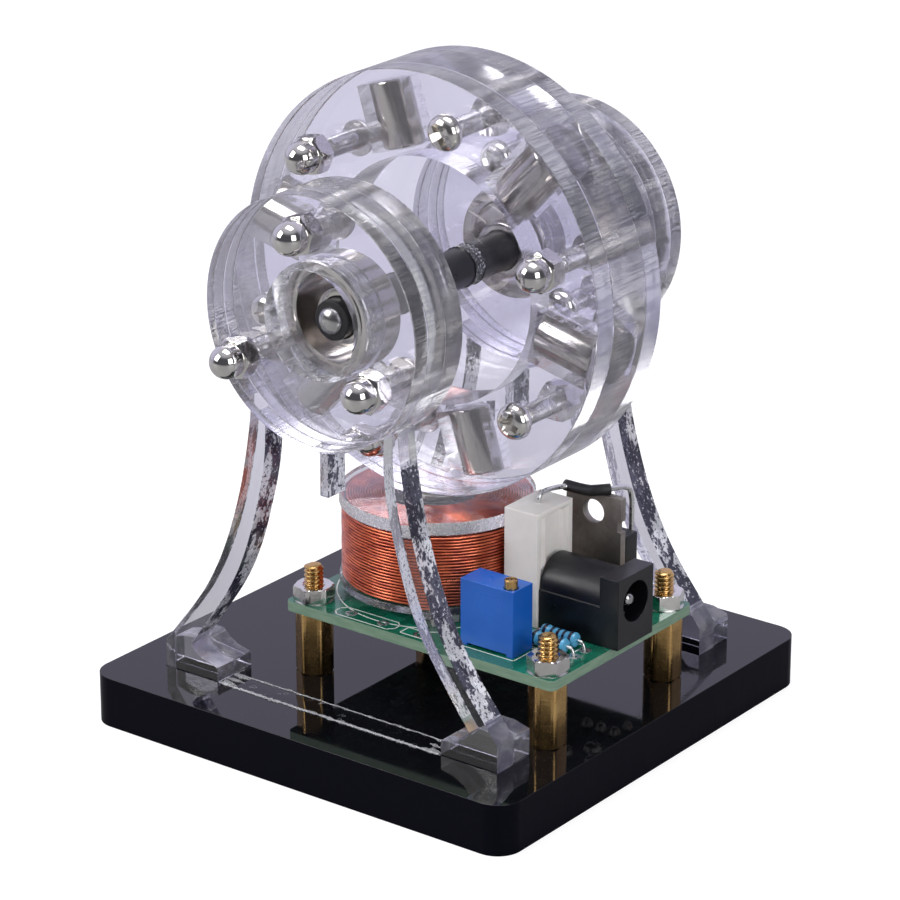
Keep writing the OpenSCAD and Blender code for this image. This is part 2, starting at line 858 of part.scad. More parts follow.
// The outer layer is drawn on the unrolled winding: across is the way round, up is the height.
// The wire comes straight up from the board, bends into its turns and ends square to the top disc.
turn_way = 2 * PI * turn_r;
turns_start = [wire_bend_r, winding_z + wire_d - board_top];
turns_end = turns_start + turns * [turn_way, turn_pitch];
unrolled = concat(
    [[0, 0], [0, turns_start.y - wire_bend_r]],
    [for (i = [1 : bend_steps - 1])
        let (b = 90 * i / bend_steps)
            turns_start + wire_bend_r * [-cos(b), sin(b) - 1]],
    [for (i = [0 : turns * rings_per_turn])
        turns_start + i / rings_per_turn * [turn_way, turn_pitch]],
    [for (i = [1 : bend_steps - 1])
        let (b = 90 * i / bend_steps)
            turns_end + wire_bend_r * [sin(b), 1 - cos(b)]],
    [[turns_end.x + wire_bend_r, turns_end.y + wire_bend_r],
     [turns_end.x + wire_bend_r, top_flange_z - board_top]]
);

function turn_angle(across) = lead_angle + 360 * across / turn_way;
function outwards(across) = [cos(turn_angle(across)), sin(turn_angle(across)), 0];
function along_turn(across) = [-sin(turn_angle(across)), cos(turn_angle(across)), 0];
wire_line = [for (p = unrolled) turn_r * outwards(p.x) + [0, 0, p.y]];
last_ring = len(unrolled) - 1;

// Way of the wire at ring i, across and up
function heading(i) =
    let (step = i == 0 ? unrolled[1] - unrolled[0]
              : i == last_ring ? unrolled[i] - unrolled[i - 1]
              : (unrolled[i + 1] - unrolled[i]) / norm(unrolled[i + 1] - unrolled[i])
              + (unrolled[i] - unrolled[i - 1]) / norm(unrolled[i] - unrolled[i - 1]))
        step / norm(step);

// The ring of points round the wire at ring i
function wire_ring(i) =
    let (way = heading(i), out = outwards(unrolled[i].x))
    let (side = -way.y * along_turn(unrolled[i].x) + [0, 0, way.x])
        [for (k = [0 : wire_sides - 1])
            let (a = 360 * k / wire_sides)
                wire_line[i] + wire_d / 2 * (cos(a) * out + sin(a) * side)];

// Least gap between stretches of the wire that are more than half a turn apart
least_gap = min([
    for (i = [0 : last_ring])
        for (j = [i + rings_per_turn / 2 : 1 : last_ring])
            norm(wire_line[i] - wire_line[j])
]) - wire_d;
echo(str("Least gap between the turns of the winding: ", least_gap, " mm over ", turns, " turns"));

module coil_outer_turns() {
    points = [for (i = [0 : last_ring]) each wire_ring(i)];
    color("#c8552f")
        on_coil_axis(board_top)
            polyhedron(points = points, faces = tube_faces(last_ring, wire_sides));
}

module circuit_board() {
    color("#0d7a4c")
        difference() {
            translate([(board_left + board_right) / 2, (board_front + board_rear) / 2, board_z])
                rounded_plate(board_w, board_d, board_corner_r, board_t);
            for (p = standoff_places)
                translate([p.x, p.y, board_z - overrun])
                    cylinder(r = screw_hole_r, h = board_t + 2 * overrun);
            for (p = pin_places)
                translate([p.x, p.y, board_z - overrun])
                    cylinder(r = p[2] + pin_play, h = board_t + 2 * overrun);
        }
}

module standoffs() {
    color("#b98d3e")
        for (p = standoff_places)
            translate([p.x, p.y, base_t])
                difference() {
                    union() {
                        hexagon_rod(standoff_af, standoff_h);
                        cylinder(r = thread_r, h = standoff_h + stud_l);
                    }
                    translate([0, 0, -overrun])
                        cylinder(r = thread_r + thread_play, h = standoff_bore_l + overrun);
                }
}

module standoff_nuts() {
    color("silver")
        for (p = standoff_places)
            translate([p.x, p.y, board_top])
                difference() {
                    hexagon_rod(nut_af, nut_h);
                    translate([0, 0, -overrun])
                        cylinder(r = thread_r + thread_play, h = nut_h + 2 * overrun);
                }
}

module base_screws() {
    color("silver")
        for (p = standoff_places)
            translate([p.x, p.y, head_recess])
                rotate([180, 0, 0])
                    pan_screw(base_t - head_recess + base_screw_grip, base_head_h);
}

module trimmer_body() {
    color("#1f5fc4")
        difference() {
            union() {
                translate([trimmer_low.x, trimmer_low.y, board_top + trimmer_nub_h])
                    cube(trimmer_size);
                for (x = [trimmer_low.x, trimmer_low.x + trimmer_size.x - trimmer_nub_w])
                    translate([x, trimmer_low.y, board_top])
                        cube([trimmer_nub_w, trimmer_size.y, trimmer_nub_h * 2]);
            }
            translate([
                trimmer_screw_at.x, trimmer_screw_at.y, trimmer_top - trimmer_screw_in - trimmer_screw_play
            ])
                cylinder(r = trimmer_hole_r, h = trimmer_screw_in + trimmer_screw_play + overrun);
        }
}

module trimmer_screw() {
    color("#c79a45")
        translate([trimmer_screw_at.x, trimmer_screw_at.y, trimmer_top - trimmer_screw_in])
            difference() {
                cylinder(d = trimmer_screw_d, h = trimmer_screw_in + trimmer_screw_out);
                translate([
                    -trimmer_screw_d, -slot_w / 2, trimmer_screw_in + trimmer_screw_out - slot_cut
                ])
                    cube([2 * trimmer_screw_d, slot_w, slot_cut + overrun]);
            }
}

module trimmer_pins() {
    color("silver")
        for (p = trimmer_pin_places)
            translate([p.x, p.y, board_z - pin_tail])
                cylinder(r = p[2], h = board_t + pin_tail + trimmer_nub_h);
}

module jack_body() {
    color("#1b1b20")
        difference() {
            union() {
                translate([jack_end_x - jack_collar_l, jack_low.y, board_top])
                    cube([jack_collar_l, jack_size.y, jack_size.z]);
                translate([jack_low.x, jack_low.y, board_top])
                    cube([jack_size.x, jack_size.y, jack_waist_h]);
                translate([jack_low.x, jack_mid_y, jack_axis_z])
                    rotate([0, 90, 0])
                        cylinder(r = jack_barrel_r, h = jack_size.x - jack_collar_l / 2);
            }
            translate([jack_end_x - jack_bore_l, jack_mid_y, jack_axis_z])
                rotate([0, 90, 0])
                    cylinder(d = jack_mouth_d, h = jack_bore_l + overrun);
        }
}

module jack_pin() {
    color("silver")
        translate([jack_end_x - jack_bore_l, jack_mid_y, jack_axis_z])
            rotate([0, 90, 0])
                edged_rod(jack_pin_d / 2, jack_bore_l - jack_pin_back, jack_pin_edge);
}

// The spring that touches the plug, a strip along the bore's floor
module jack_spring() {
    color("gainsboro")
        intersection() {
            translate([jack_end_x - jack_bore_l, jack_mid_y, jack_axis_z])
                rotate([0, 90, 0])
                    cylinder(r = jack_mouth_d / 2 - jack_spring_gap, h = jack_spring_l);
            translate([
                jack_end_x - jack_bore_l, jack_mid_y - jack_spring_w / 2, jack_axis_z - jack_mouth_d / 2
            ])
                cube([jack_spring_l, jack_spring_w, 2 * jack_spring_t]);
        }
}

module jack_tags() {
    color("silver")
        for (p = tag_places)
            translate([p.x - tag_w / 2, p.y - tag_t / 2, board_z - pin_tail])
                cube([tag_w, tag_t, board_t + pin_tail]);
}

module ceramic_resistor() {
    color("#e9e6df")
        difference() {
            translate([ceramic_low.x, ceramic_low.y, board_top])
                cube(ceramic_size);
            translate([
                ceramic_low.x + ceramic_size.x - ceramic_recess,
                ceramic_low.y + ceramic_rim_w,
                board_top + ceramic_rim_w
            ])
                cube([
                    ceramic_recess + overrun,
                    ceramic_size.y - 2 * ceramic_rim_w,
                    ceramic_size.z - 2 * ceramic_rim_w
                ]);
        }
}

module ceramic_leads() {
    color("silver") {
        bent_wire(ceramic_lead_path, ceramic_lead_r);
        translate([ceramic_mid.x, ceramic_mid.y, board_z - pin_tail])
            cylinder(r = ceramic_lead_r, h = board_t + pin_tail);
    }
}

module lead_sleeve() {
    color("#141416")
        difference() {
            bent_wire(sleeve_path, sleeve_r);
            bent_wire(ceramic_lead_path, ceramic_lead_r + sleeve_play);
        }
}

module transistor_tab() {
    color("#8d8a84")
        difference() {
            translate([tab_low.x, tab_low.y, tab_z])
                cube(tab_size);
            translate([tab_mid_x, tab_low.y - overrun, tab_top - tab_hole_drop])
                pointing(REAR)
                    cylinder(d = tab_hole_d, h = tab_size.y + 2 * overrun);
            for (x = [tab_low.x - tab_notch_w, tab_low.x + tab_size.x - tab_notch_w])
                translate([x, tab_low.y - overrun, tab_z + tab_size.z * tab_notch_share])
                    cube([2 * tab_notch_w, tab_size.y + 2 * overrun, tab_notch_h]);
        }
}

module transistor_body() {
    color("#1c1c1f")
        translate([tab_mid_x - mould_size.x / 2, tab_low.y + tab_size.y, tab_z])
            cube(mould_size);
}

module transistor_leads() {
    color("silver")
        for (p = transistor_pin_places)
            translate([p.x - transistor_lead_w / 2, p.y - transistor_lead_t / 2, board_z - pin_tail])
                cube([transistor_lead_w, transistor_lead_t, pin_tail + board_t + transistor_lift]);
}

module film_resistors() {
    color("#3f97cf")
        for (y = film_ys)
            translate([film_end_x - film_l, y, film_z])
                rotate([0, 90, 0])
                    union() {
                        cylinder(r = film_waist_r, h = film_l);
                        cylinder(d = film_d, h = film_cap_l);
                        translate([0, 0, film_l - film_cap_l])
                            cylinder(d = film_d, h = film_cap_l);
                    }
}

module film_leads() {
    color("silver")
        for (y = film_ys) {
            left = film_end_x - film_l - film_lead_out;
            right = film_end_x + film_lead_out;
            square_wire([
                [left, y, board_z - pin_tail], [left, y, film_z], [film_end_x - film_l, y, film_z]
            ], film_lead_r);
            square_wire([
                [film_end_x, y, film_z], [right, y, film_z], [right, y, board_z - pin_tail]
            ], film_lead_r);
        }
}

module solder_joints() {
    color("gainsboro")
        for (p = pin_places)
            translate([p.x, p.y, board_z - solder_h])
                difference() {
                    cylinder(r1 = p[2] + solder_w / 4, r2 = p[2] + solder_w, h = solder_h);
                    translate([0, 0, -overrun])
                        cylinder(r = p[2] + solder_fit, h = solder_h + 2 * overrun);
                }
}

base_plate();
frame(FRONT);  // front_frame
frame(REAR);  // rear_frame
foot_bar(FRONT);  // front_foot_bar
foot_bar(REAR);  // rear_foot_bar
bearing_cover(FRONT);  // front_cover
bearing_disc(FRONT);  // front_disc
bearing_cover(REAR);  // rear_cover
bearing_disc(REAR);  // rear_disc
thrust_plate();
thrust_pad();
ring_magnet(FRONT);  // front_ring_magnet
ring_magnet(REAR);  // rear_ring_magnet
bearing_screw_set(FRONT);  // front_bearing_screws
bearing_screw_set(REAR);  // rear_bearing_screws
bearing_nut_set(FRONT);  // front_bearing_nuts
bearing_nut_set(REAR);  // rear_bearing_nuts
shaft();
shaft_tips();
shaft_ring(FRONT);  // front_shaft_ring
shaft_ring(REAR);  // rear_shaft_ring
rotor_plate(FRONT);  // rotor_front_plate
rotor_carrier();
rotor_plate(REAR);  // rotor_rear_plate
rotor_magnets();
rotor_screws();
rotor_nuts();
coil_bobbin();
coil_top_flange();
coil_core();
coil_winding();
coil_outer_turns();
circuit_board();
standoffs();
standoff_nuts();
base_screws();
trimmer_body();
trimmer_screw();
trimmer_pins();
jack_body();
jack_pin();
jack_spring();
jack_tags();
ceramic_resistor();
ceramic_leads();
lead_sleeve();
transistor_tab();
transistor_body();
transistor_leads();
film_resistors();
film_leads();
solder_joints();
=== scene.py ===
import json
import math

import bmesh
import bpy
from mathutils import Euler, Matrix, Vector, noise


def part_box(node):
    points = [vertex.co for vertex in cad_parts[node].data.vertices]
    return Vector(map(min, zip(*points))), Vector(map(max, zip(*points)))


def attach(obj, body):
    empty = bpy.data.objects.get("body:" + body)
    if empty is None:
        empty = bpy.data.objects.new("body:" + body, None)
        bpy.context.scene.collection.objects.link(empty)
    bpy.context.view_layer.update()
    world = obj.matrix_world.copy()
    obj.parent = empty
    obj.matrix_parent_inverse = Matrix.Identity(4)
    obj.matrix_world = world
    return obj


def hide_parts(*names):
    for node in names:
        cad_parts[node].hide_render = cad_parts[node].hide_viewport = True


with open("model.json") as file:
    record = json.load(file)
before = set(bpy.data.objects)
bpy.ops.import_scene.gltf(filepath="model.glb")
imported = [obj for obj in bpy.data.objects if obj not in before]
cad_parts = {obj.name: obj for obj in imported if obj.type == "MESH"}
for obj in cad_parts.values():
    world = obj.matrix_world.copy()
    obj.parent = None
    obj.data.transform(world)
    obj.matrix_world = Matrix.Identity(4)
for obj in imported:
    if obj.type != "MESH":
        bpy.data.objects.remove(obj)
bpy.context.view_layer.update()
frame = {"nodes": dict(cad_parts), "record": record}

scene = bpy.context.scene
nodes = frame["nodes"]
record = frame["record"]
SLOT_OF = {row["node"]: row["material_slot"] for row in record["subparts"]}
BODY_OF = {n: b for b, names in record["behaviour"]["bodies"].items() for n in names}

MM = 0.001
FRONT, REAR = -1, 1

# Sizes in millimetres that several pieces share
RING_Z = 70.0
ROTOR_Z = 69.3
ROTOR_HALF = 8
SHAFT_HALF = 28
BEARING_SCREW_R = 13.85
ROTOR_SCREW_R = 24.85
FIRST_SCREW_ANGLE = 17
COIL_Y = -3.0
BOARD_TOP = 19.6
PIN_END = 16.9
BASE_TOP = 8.0
FOOT_TOP = 14.5
LEG_TOP = 50.5
THREAD_R = 1.5


def box_mm(node):
    """The low and the high corner of a CAD node, in millimetres."""
    return [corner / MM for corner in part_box(node)]


def polar(radius, angle):
    """The point at this distance and at this angle in degrees."""
    return radius * math.cos(math.radians(angle)), radius * math.sin(math.radians(angle))


# Materials

ACRYLIC_IOR = 1.49
# What a cut rim leaves of the light that passes it
CUT_TINT = (0.9, 0.905, 0.93)
# Starts and widths of the small resistors' bands along the body, in millimetres
FILM_BANDS = ((0.55, 0.55), (1.75, 0.5), (2.85, 0.5), (3.9, 0.45), (5.1, 0.55))


class Nodes:
    """A node tree with short ways to add nodes. An input that is given another node's output is linked."""

    def __init__(self, tree):
        self.tree = tree

    def set(self, node, values):
        for key, value in values.items():
            socket = node.inputs[key]
            if isinstance(value, bpy.types.NodeSocket):
                self.tree.links.new(value, socket)
            elif isinstance(value, tuple) and socket.type == "RGBA":
                socket.default_value = (*value, 1)
            else:
                socket.default_value = value

    def add(self, kind, inputs=None, **options):
        node = self.tree.nodes.new(kind)
        for key, value in options.items():
            setattr(node, key, value)
        self.set(node, inputs or {})
        return node

    def remap(self, value, low, high, to_low=0.0, to_high=1.0, **options):
        ends = {"From Min": low, "From Max": high, "To Min": to_low, "To Max": to_high}
        return self.add("ShaderNodeMapRange", {"Value": value, **ends}, **options).outputs[0]

    def math(self, operation, a, b=0.0):
        return self.add("ShaderNodeMath", {0: a, 1: b}, operation=operation).outputs[0]

    def times(self, a, b):
        return self.math("MULTIPLY", a, b)

    def dot(self, a, b):
        return self.add("ShaderNodeVectorMath", {0: a, 1: b}, operation="DOT_PRODUCT").outputs["Value"]

    def blend(self, factor, a, b):
        return self.add("ShaderNodeMix", {"Factor": factor, 6: a, 7: b}, data_type="RGBA").outputs[2]


class Finish(Nodes):
    """A Principled material, with patterns that stay where they are on the object."""

    def __init__(self, name, color, roughness, **values):
        self.material = bpy.data.materials.new(name)
        self.material.use_nodes = True
        super().__init__(self.material.node_tree)
        self.shader = self.tree.nodes["Principled BSDF"]
        self.output = self.tree.nodes["Material Output"]
        self.place = self.add("ShaderNodeTexCoord").outputs["Object"]
        self.set(self.shader, {"Base Color": color, "Roughness": roughness})
        self.set(self.shader, {k.replace("_", " "): v for k, v in values.items()})

    def look(self, color=None, rough=None, normal=None):
        """The material, with these outputs on the shader's sockets."""
        sockets = {"Base Color": color, "Roughness": rough, "Normal": normal}
        self.set(self.shader, {k: v for k, v in sockets.items() if v is not None})
        return self.material

    def stretched(self, scale):
        return self.add("ShaderNodeMapping", {"Vector": self.place, "Scale": scale}).outputs[0]

    def noise(self, scale, detail=3.0, rough=0.5, along=None):
        """Noise, drawn out along the axes where the last scale is small."""
        at = self.stretched(along) if along else self.place
        return self.add("ShaderNodeTexNoise", {
            "Vector": at, "Scale": scale, "Detail": detail, "Roughness": rough}).outputs["Fac"]

    def cells(self, scale):
        return self.add("ShaderNodeTexVoronoi", {"Vector": self.place, "Scale": scale}).outputs["Distance"]

    def bump(self, height, strength, distance, after=None):
        inputs = {"Height": height, "Strength": strength, "Distance": distance * MM}
        if after:
            inputs["Normal"] = after
        return self.add("ShaderNodeBump", inputs).outputs[0]

    def let_lamps_through(self, tint, open_share=None):
        """Lamps and soft light pass the clear sheet, as they do through real thin acrylic. The open share
        lets every ray through, where a wall lies so close to metal that it is hardly seen."""
        path = self.add("ShaderNodeLightPath").outputs
        passing = self.math("MAXIMUM", path["Is Shadow Ray"], path["Is Diffuse Ray"])
        if open_share:
            passing = self.math("MAXIMUM", passing, open_share)
        clear = self.add("ShaderNodeBsdfTransparent", {"Color": tint}).outputs[0]
        mixed = self.add("ShaderNodeMixShader", {0: passing, 1: self.shader.outputs[0], 2: clear}).outputs[0]
        self.set(self.output, {"Surface": mixed})


def clear(name, color, rough, share=1.0):
    """Acrylic that lets this share of the light into itself."""
    return Finish(name, color, rough, IOR=ACRYLIC_IOR, Transmission_Weight=share)


def clear_face():
    f = clear("clear_face", (0.965, 0.962, 0.988), 0.012)
    f.let_lamps_through((0.965, 0.97, 0.985))
    scratches = f.noise(260, 4, 0.7, (1, 0.06, 5))
    return f.look(rough=f.remap(scratches, 0.62, 0.78, 0.008, 0.06), normal=f.bump(f.noise(45, 2), 0.06, 0.6))


def clear_cut():
    """Saw-cut rims: striations run through the thickness of the sheet, with darker and lighter stretches."""
    f = clear("clear_cut", (0.9, 0.9, 0.95), 0.14, 0.95)
    f.let_lamps_through(CUT_TINT)
    fine = f.noise(2600, 3, 0.6, (1, 0.04, 1))
    broad = f.noise(330, 2, 0.5, (1, 0.12, 1))
    stretches = f.noise(130, 3, 0.6, (1, 1.8, 1))
    tone = f.times(f.remap(fine, 0.42, 0.54, 0.2, 1), f.remap(stretches, 0.42, 0.5, 0.3, 1))
    return f.look(
        f.blend(tone, (0.34, 0.34, 0.42), (1.0, 1.0, 1.0)),
        f.remap(broad, 0.38, 0.66, 0.03, 0.15),
        f.bump(fine, 0.8, 0.08, f.bump(broad, 0.55, 0.25)))


def leg_cut():
    """The legs' rims mirror the black base, in painted reflection: a dark ground of painted reflection, pale
    patches of painted reflection with dark chips in them, and bright specks of painted glint.
    """
    # The dark ground colour is painted reflection of the black base
    f = clear("leg_cut", (0.1, 0.1, 0.15), 0.1, 0.5)
    f.let_lamps_through(CUT_TINT)
    streaks = f.noise(240, 4, 0.62, (1, 1, 0.45))
    specks = f.noise(2000, 3, 0.6)
    patches = f.times(f.remap(streaks, 0.5, 0.525), f.remap(specks, 0.4, 0.45))
    # pale gathers the painted reflections and the painted glints
    pale = f.math("MAXIMUM", patches, f.remap(specks, 0.6, 0.64, 0, 0.75))
    return f.look(
        f.blend(pale, (0.03, 0.03, 0.055), (0.93, 0.93, 1.0)),
        f.remap(streaks, 0.35, 0.65, 0.06, 0.3),
        f.bump(specks, 0.35, 0.06, f.bump(streaks, 0.6, 0.3)))


def foot_cut():
    """The feet's rims: frosted and pale, with a lavender cast."""
    f = clear("foot_cut", (0.7, 0.69, 0.84), 0.08, 0.8)
    f.let_lamps_through(CUT_TINT)
    marks = f.noise(1300, 3, 0.6, (1, 0.1, 1))
    patches = f.noise(260, 3, 0.6)
    return f.look(
        f.blend(f.remap(patches, 0.42, 0.58), (0.42, 0.41, 0.55), (0.86, 0.85, 0.96)),
        normal=f.bump(marks, 0.6, 0.08, f.bump(patches, 0.2, 0.15)))


def clear_bore():
    """Bored walls round the ring magnets: clear, with frosted marks and small bubbles."""
    f = clear("clear_bore", (0.93, 0.935, 0.96), 0.12, 0.95)
    bubbles = f.cells(900)
    marks = f.noise(700, 3, 0.6, (1, 0.12, 1))
    f.let_lamps_through((0.92, 0.925, 0.95), f.remap(marks, 0.46, 0.6, 0.96, 0.55))
    return f.look(
        rough=f.remap(bubbles, 0.1, 0.5, 0.05, 0.3),
        normal=f.bump(marks, 0.35, 0.06, f.bump(f.remap(bubbles, 0.0, 0.4), 0.4, 0.12)))


def close_fit():
    """Walls of screw holes and magnet pockets, so near the metal that it shows through them."""
    f = clear("close_fit", (0.93, 0.93, 0.97), 0.08)
    marks = f.noise(900, 3, 0.6, (1, 0.15, 1))
    f.let_lamps_through((0.97, 0.97, 0.985), f.remap(marks, 0.5, 0.66, 0.92, 0.4))
    return f.look(normal=f.bump(marks, 0.5, 0.08))


def sunk_bar():
    """The bars' tops in the base: clear sheet over black, with rings of small trapped bubbles."""
    black = (0.004, 0.004, 0.006)
    f = Finish("sunk_bar", black, 0.05, IOR=ACRYLIC_IOR, Specular_IOR_Level=0.35)
    from_rim = f.math("ABSOLUTE", f.math("SUBTRACT", f.cells(750), 0.24))
    rings = f.times(f.math("LESS_THAN", from_rim, 0.025), f.remap(f.noise(330, 2), 0.5, 0.62, 0, 0.5))
    return f.look(f.blend(rings, black, (0.35, 0.35, 0.38)), normal=f.bump(f.noise(160, 2), 0.12, 0.2))


def hub_fit():
    """The rotor plates' tight holes: dark shaft behind a rough wall full of bright specks."""
    f = Finish("hub_fit", (0.02, 0.02, 0.025), 0.45, IOR=ACRYLIC_IOR, Specular_IOR_Level=0.4)
    chips = f.noise(2600, 2, 0.6)
    bright = f.times(f.remap(chips, 0.53, 0.57), f.remap(f.noise(700, 3, 0.6), 0.4, 0.52))
    return f.look(f.blend(bright, (0.018, 0.018, 0.024), (0.75, 0.75, 0.8)), normal=f.bump(chips, 0.6, 0.1))


def set_glue():
    f = Finish("set_glue", (0.9, 0.91, 0.93), 0.18, IOR=1.47, Transmission_Weight=0.75)
    f.let_lamps_through((0.9, 0.9, 0.92))
    lumps = f.noise(900, 5, 0.7)
    return f.look(rough=f.remap(lumps, 0.4, 0.65, 0.05, 0.5), normal=f.bump(lumps, 0.9, 0.3))


def black_acrylic():
    """Glossy black sheet with faint smears and specks of dust."""
    black = (0.0035, 0.0035, 0.005)
    f = Finish("black_acrylic", black, 0.035, IOR=ACRYLIC_IOR, Specular_IOR_Level=0.36)
    smears = f.noise(55, 4, 0.6, (1, 0.5, 1))
    specks = f.math("LESS_THAN", f.cells(1400), 0.05)
    return f.look(
        f.blend(f.times(specks, 0.35), black, (0.22, 0.22, 0.24)),
        f.math("MAXIMUM", f.remap(smears, 0.45, 0.8, 0.02, 0.11), f.times(specks, 0.6)),
        f.bump(f.noise(30, 2), 0.03, 0.8))


def black_cut():
    f = Finish("black_cut", (0.003, 0.003, 0.007), 0.1, IOR=ACRYLIC_IOR, Specular_IOR_Level=0.05)
    lines = f.noise(1000, 3, 0.6, (1, 1, 0.06))
    broad = f.noise(160, 2, 0.5, (1, 1, 0.15))
    return f.look(
        rough=f.remap(broad, 0.35, 0.7, 0.06, 0.22),
        normal=f.bump(lines, 0.22, 0.05, f.bump(broad, 0.25, 0.25)))


def plated(name, color, low, high, brushed, strength=0.12):
    """Nickel plate: soft clouds in the gloss and fine marks drawn out along one way."""
    f = Finish(name, color, low, Metallic=1.0)
    clouds = f.noise(420, 4, 0.6)
    return f.look(
        f.blend(f.remap(clouds, 0.35, 0.8), color, tuple(0.86 * c for c in color)),
        f.remap(clouds, 0.3, 0.72, low, high),
        f.bump(f.noise(2400, 2, 0.5, brushed), strength, 0.02))


def satin_black(name, color, rough, grain, strength=0.15, turned=False):
    """Black plastic or blackened steel, with fine rings round the Y axis where it is turned."""
    f = Finish(name, color, rough, IOR=1.5)
    speck = f.noise(grain, 4, 0.65)
    lighter = tuple(min(1, c * 2.2 + 0.004) for c in color)
    if turned:
        rings = f.noise(3000, 2, 0.5, (0.05, 1, 0.05))
        normal = f.bump(rings, 0.25, 0.02, f.bump(f.noise(900, 4, 0.6), 0.25, 0.04))
    else:
        normal = f.bump(speck, strength, 0.03)
    return f.look(
        f.blend(f.remap(speck, 0.45, 0.8, 0, 0.5), color, lighter),
        f.remap(f.noise(190, 3, 0.6), 0.3, 0.75, rough - 0.07, rough + 0.12), normal)


def enamelled_wire(name, color, painted_shade):
    """Copper under red-brown enamel, with painted shade: darker bands stacked up the coil for the gaps where
    the turns meet.
    """
    f = Finish(name, color, 0.3, Metallic=0.8, Coat_Weight=0.6, Coat_Roughness=0.12)
    # turns is the mask of the painted shade, bands stacked along Z, and it also sets the gloss
    turns = f.noise(700, 2, 0.5, (0.5, 0.5, 4))
    return f.look(f.blend(f.remap(turns, 0.35, 0.7), color, painted_shade), f.remap(turns, 0.3, 0.8, 0.24, 0.42))


def green_mask():
    """Solder mask over copper: raised, lighter tracks under a glossy green coat."""
    f = Finish("green_mask", (0.004, 0.115, 0.062), 0.24, IOR=1.52, Coat_Weight=0.35, Coat_Roughness=0.1)
    tracks = f.add("ShaderNodeTexVoronoi", {
        "Vector": f.stretched((1, 1, 0)), "Scale": 190.0, "Randomness": 0.85}, distance="CHEBYCHEV")
    copper = f.remap(tracks.outputs["Distance"], 0.28, 0.32)
    weave = f.times(f.noise(2600, 1, 0.5, (1, 0.1, 1)), f.noise(2600, 1, 0.5, (0.1, 1, 1)))
    return f.look(
        f.blend(copper, (0.008, 0.17, 0.1), (0.004, 0.115, 0.065)),
        f.remap(f.noise(380, 3), 0.35, 0.7, 0.18, 0.34),
        f.bump(copper, 0.25, 0.03, f.bump(weave, 0.2, 0.03)))


def glass_cloth_edge():
    f = Finish("glass_cloth_edge", (0.2, 0.31, 0.22), 0.55)
    layers = f.noise(2600, 2, 0.5, (0.12, 0.12, 1))
    return f.look(f.blend(layers, (0.1, 0.22, 0.14), (0.3, 0.4, 0.3)), normal=f.bump(layers, 0.5, 0.06))


def white_print():
    f = Finish("white_print", (0.78, 0.79, 0.77), 0.5)
    return f.look(normal=f.bump(f.noise(3000, 2), 0.2, 0.02))


def tinned():
    f = Finish("tinned", (0.72, 0.72, 0.71), 0.25, Metallic=1.0)
    crystals = f.cells(1700)
    return f.look(rough=f.remap(crystals, 0.0, 0.7, 0.16, 0.42), normal=f.bump(crystals, 0.35, 0.03))


def turned_brass():
    f = Finish("turned_brass", (0.62, 0.4, 0.15), 0.24, Metallic=1.0)
    clouds = f.noise(350, 4, 0.6)
    return f.look(
        f.blend(f.remap(clouds, 0.3, 0.75), (0.66, 0.43, 0.17), (0.45, 0.27, 0.1)),
        f.remap(clouds, 0.3, 0.75, 0.17, 0.36),
        f.bump(f.noise(3200, 2, 0.5, (0.06, 0.06, 1)), 0.25, 0.03))


def moulded(name, color, rough, grain, strength, coat=0.0):
    f = Finish(name, color, rough, IOR=1.5, Coat_Weight=coat, Coat_Roughness=0.15)
    flow = f.noise(140, 3, 0.6)
    return f.look(
        f.blend(f.remap(flow, 0.3, 0.8), color, tuple(0.82 * c for c in color)),
        f.remap(flow, 0.3, 0.75, rough - 0.05, rough + 0.09),
        f.bump(f.noise(grain, 3, 0.6), strength, 0.03))


def fired_ceramic():
    f = Finish("fired_ceramic", (0.74, 0.735, 0.7), 0.62, Subsurface_Weight=0.06, Subsurface_Scale=0.4 * MM)
    stain = f.remap(f.noise(170, 3, 0.6), 0.35, 0.75)
    return f.look(
        f.blend(stain, (0.9, 0.855, 0.82), (0.8, 0.755, 0.715)),
        normal=f.bump(f.noise(2600, 4, 0.7), 0.35, 0.05))


def dull_tab():
    f = Finish("dull_tab", (0.33, 0.3, 0.27), 0.4, Metallic=0.9)
    stain = f.noise(260, 4, 0.65)
    return f.look(
        f.blend(f.remap(stain, 0.35, 0.7), (0.4, 0.37, 0.34), (0.24, 0.21, 0.19)),
        f.remap(stain, 0.3, 0.7, 0.34, 0.55),
        f.bump(f.noise(1500, 2, 0.6, (1, 1, 0.08)), 0.3, 0.03))


def banded_blue():
    """Pale blue lacquer with dark bands round the body, whose axis runs along X."""
    f = Finish("banded_blue", (0.09, 0.36, 0.62), 0.28, IOR=1.5, Coat_Weight=0.4, Coat_Roughness=0.12)
    x = f.add("ShaderNodeSeparateXYZ", {"Vector": f.place}).outputs["X"]
    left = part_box("film_resistors")[0].x
    bands = 0.0
    for start, wide in FILM_BANDS:
        from_middle = f.math("SUBTRACT", x, left + (start + wide / 2) * MM)
        band = f.math("LESS_THAN", f.math("ABSOLUTE", from_middle), wide / 2 * MM)
        bands = f.math("MAXIMUM", bands, band)
    return f.look(
        f.blend(bands, (0.1, 0.4, 0.66), (0.012, 0.012, 0.03)),
        normal=f.bump(f.noise(900, 3, 0.6), 0.25, 0.05))


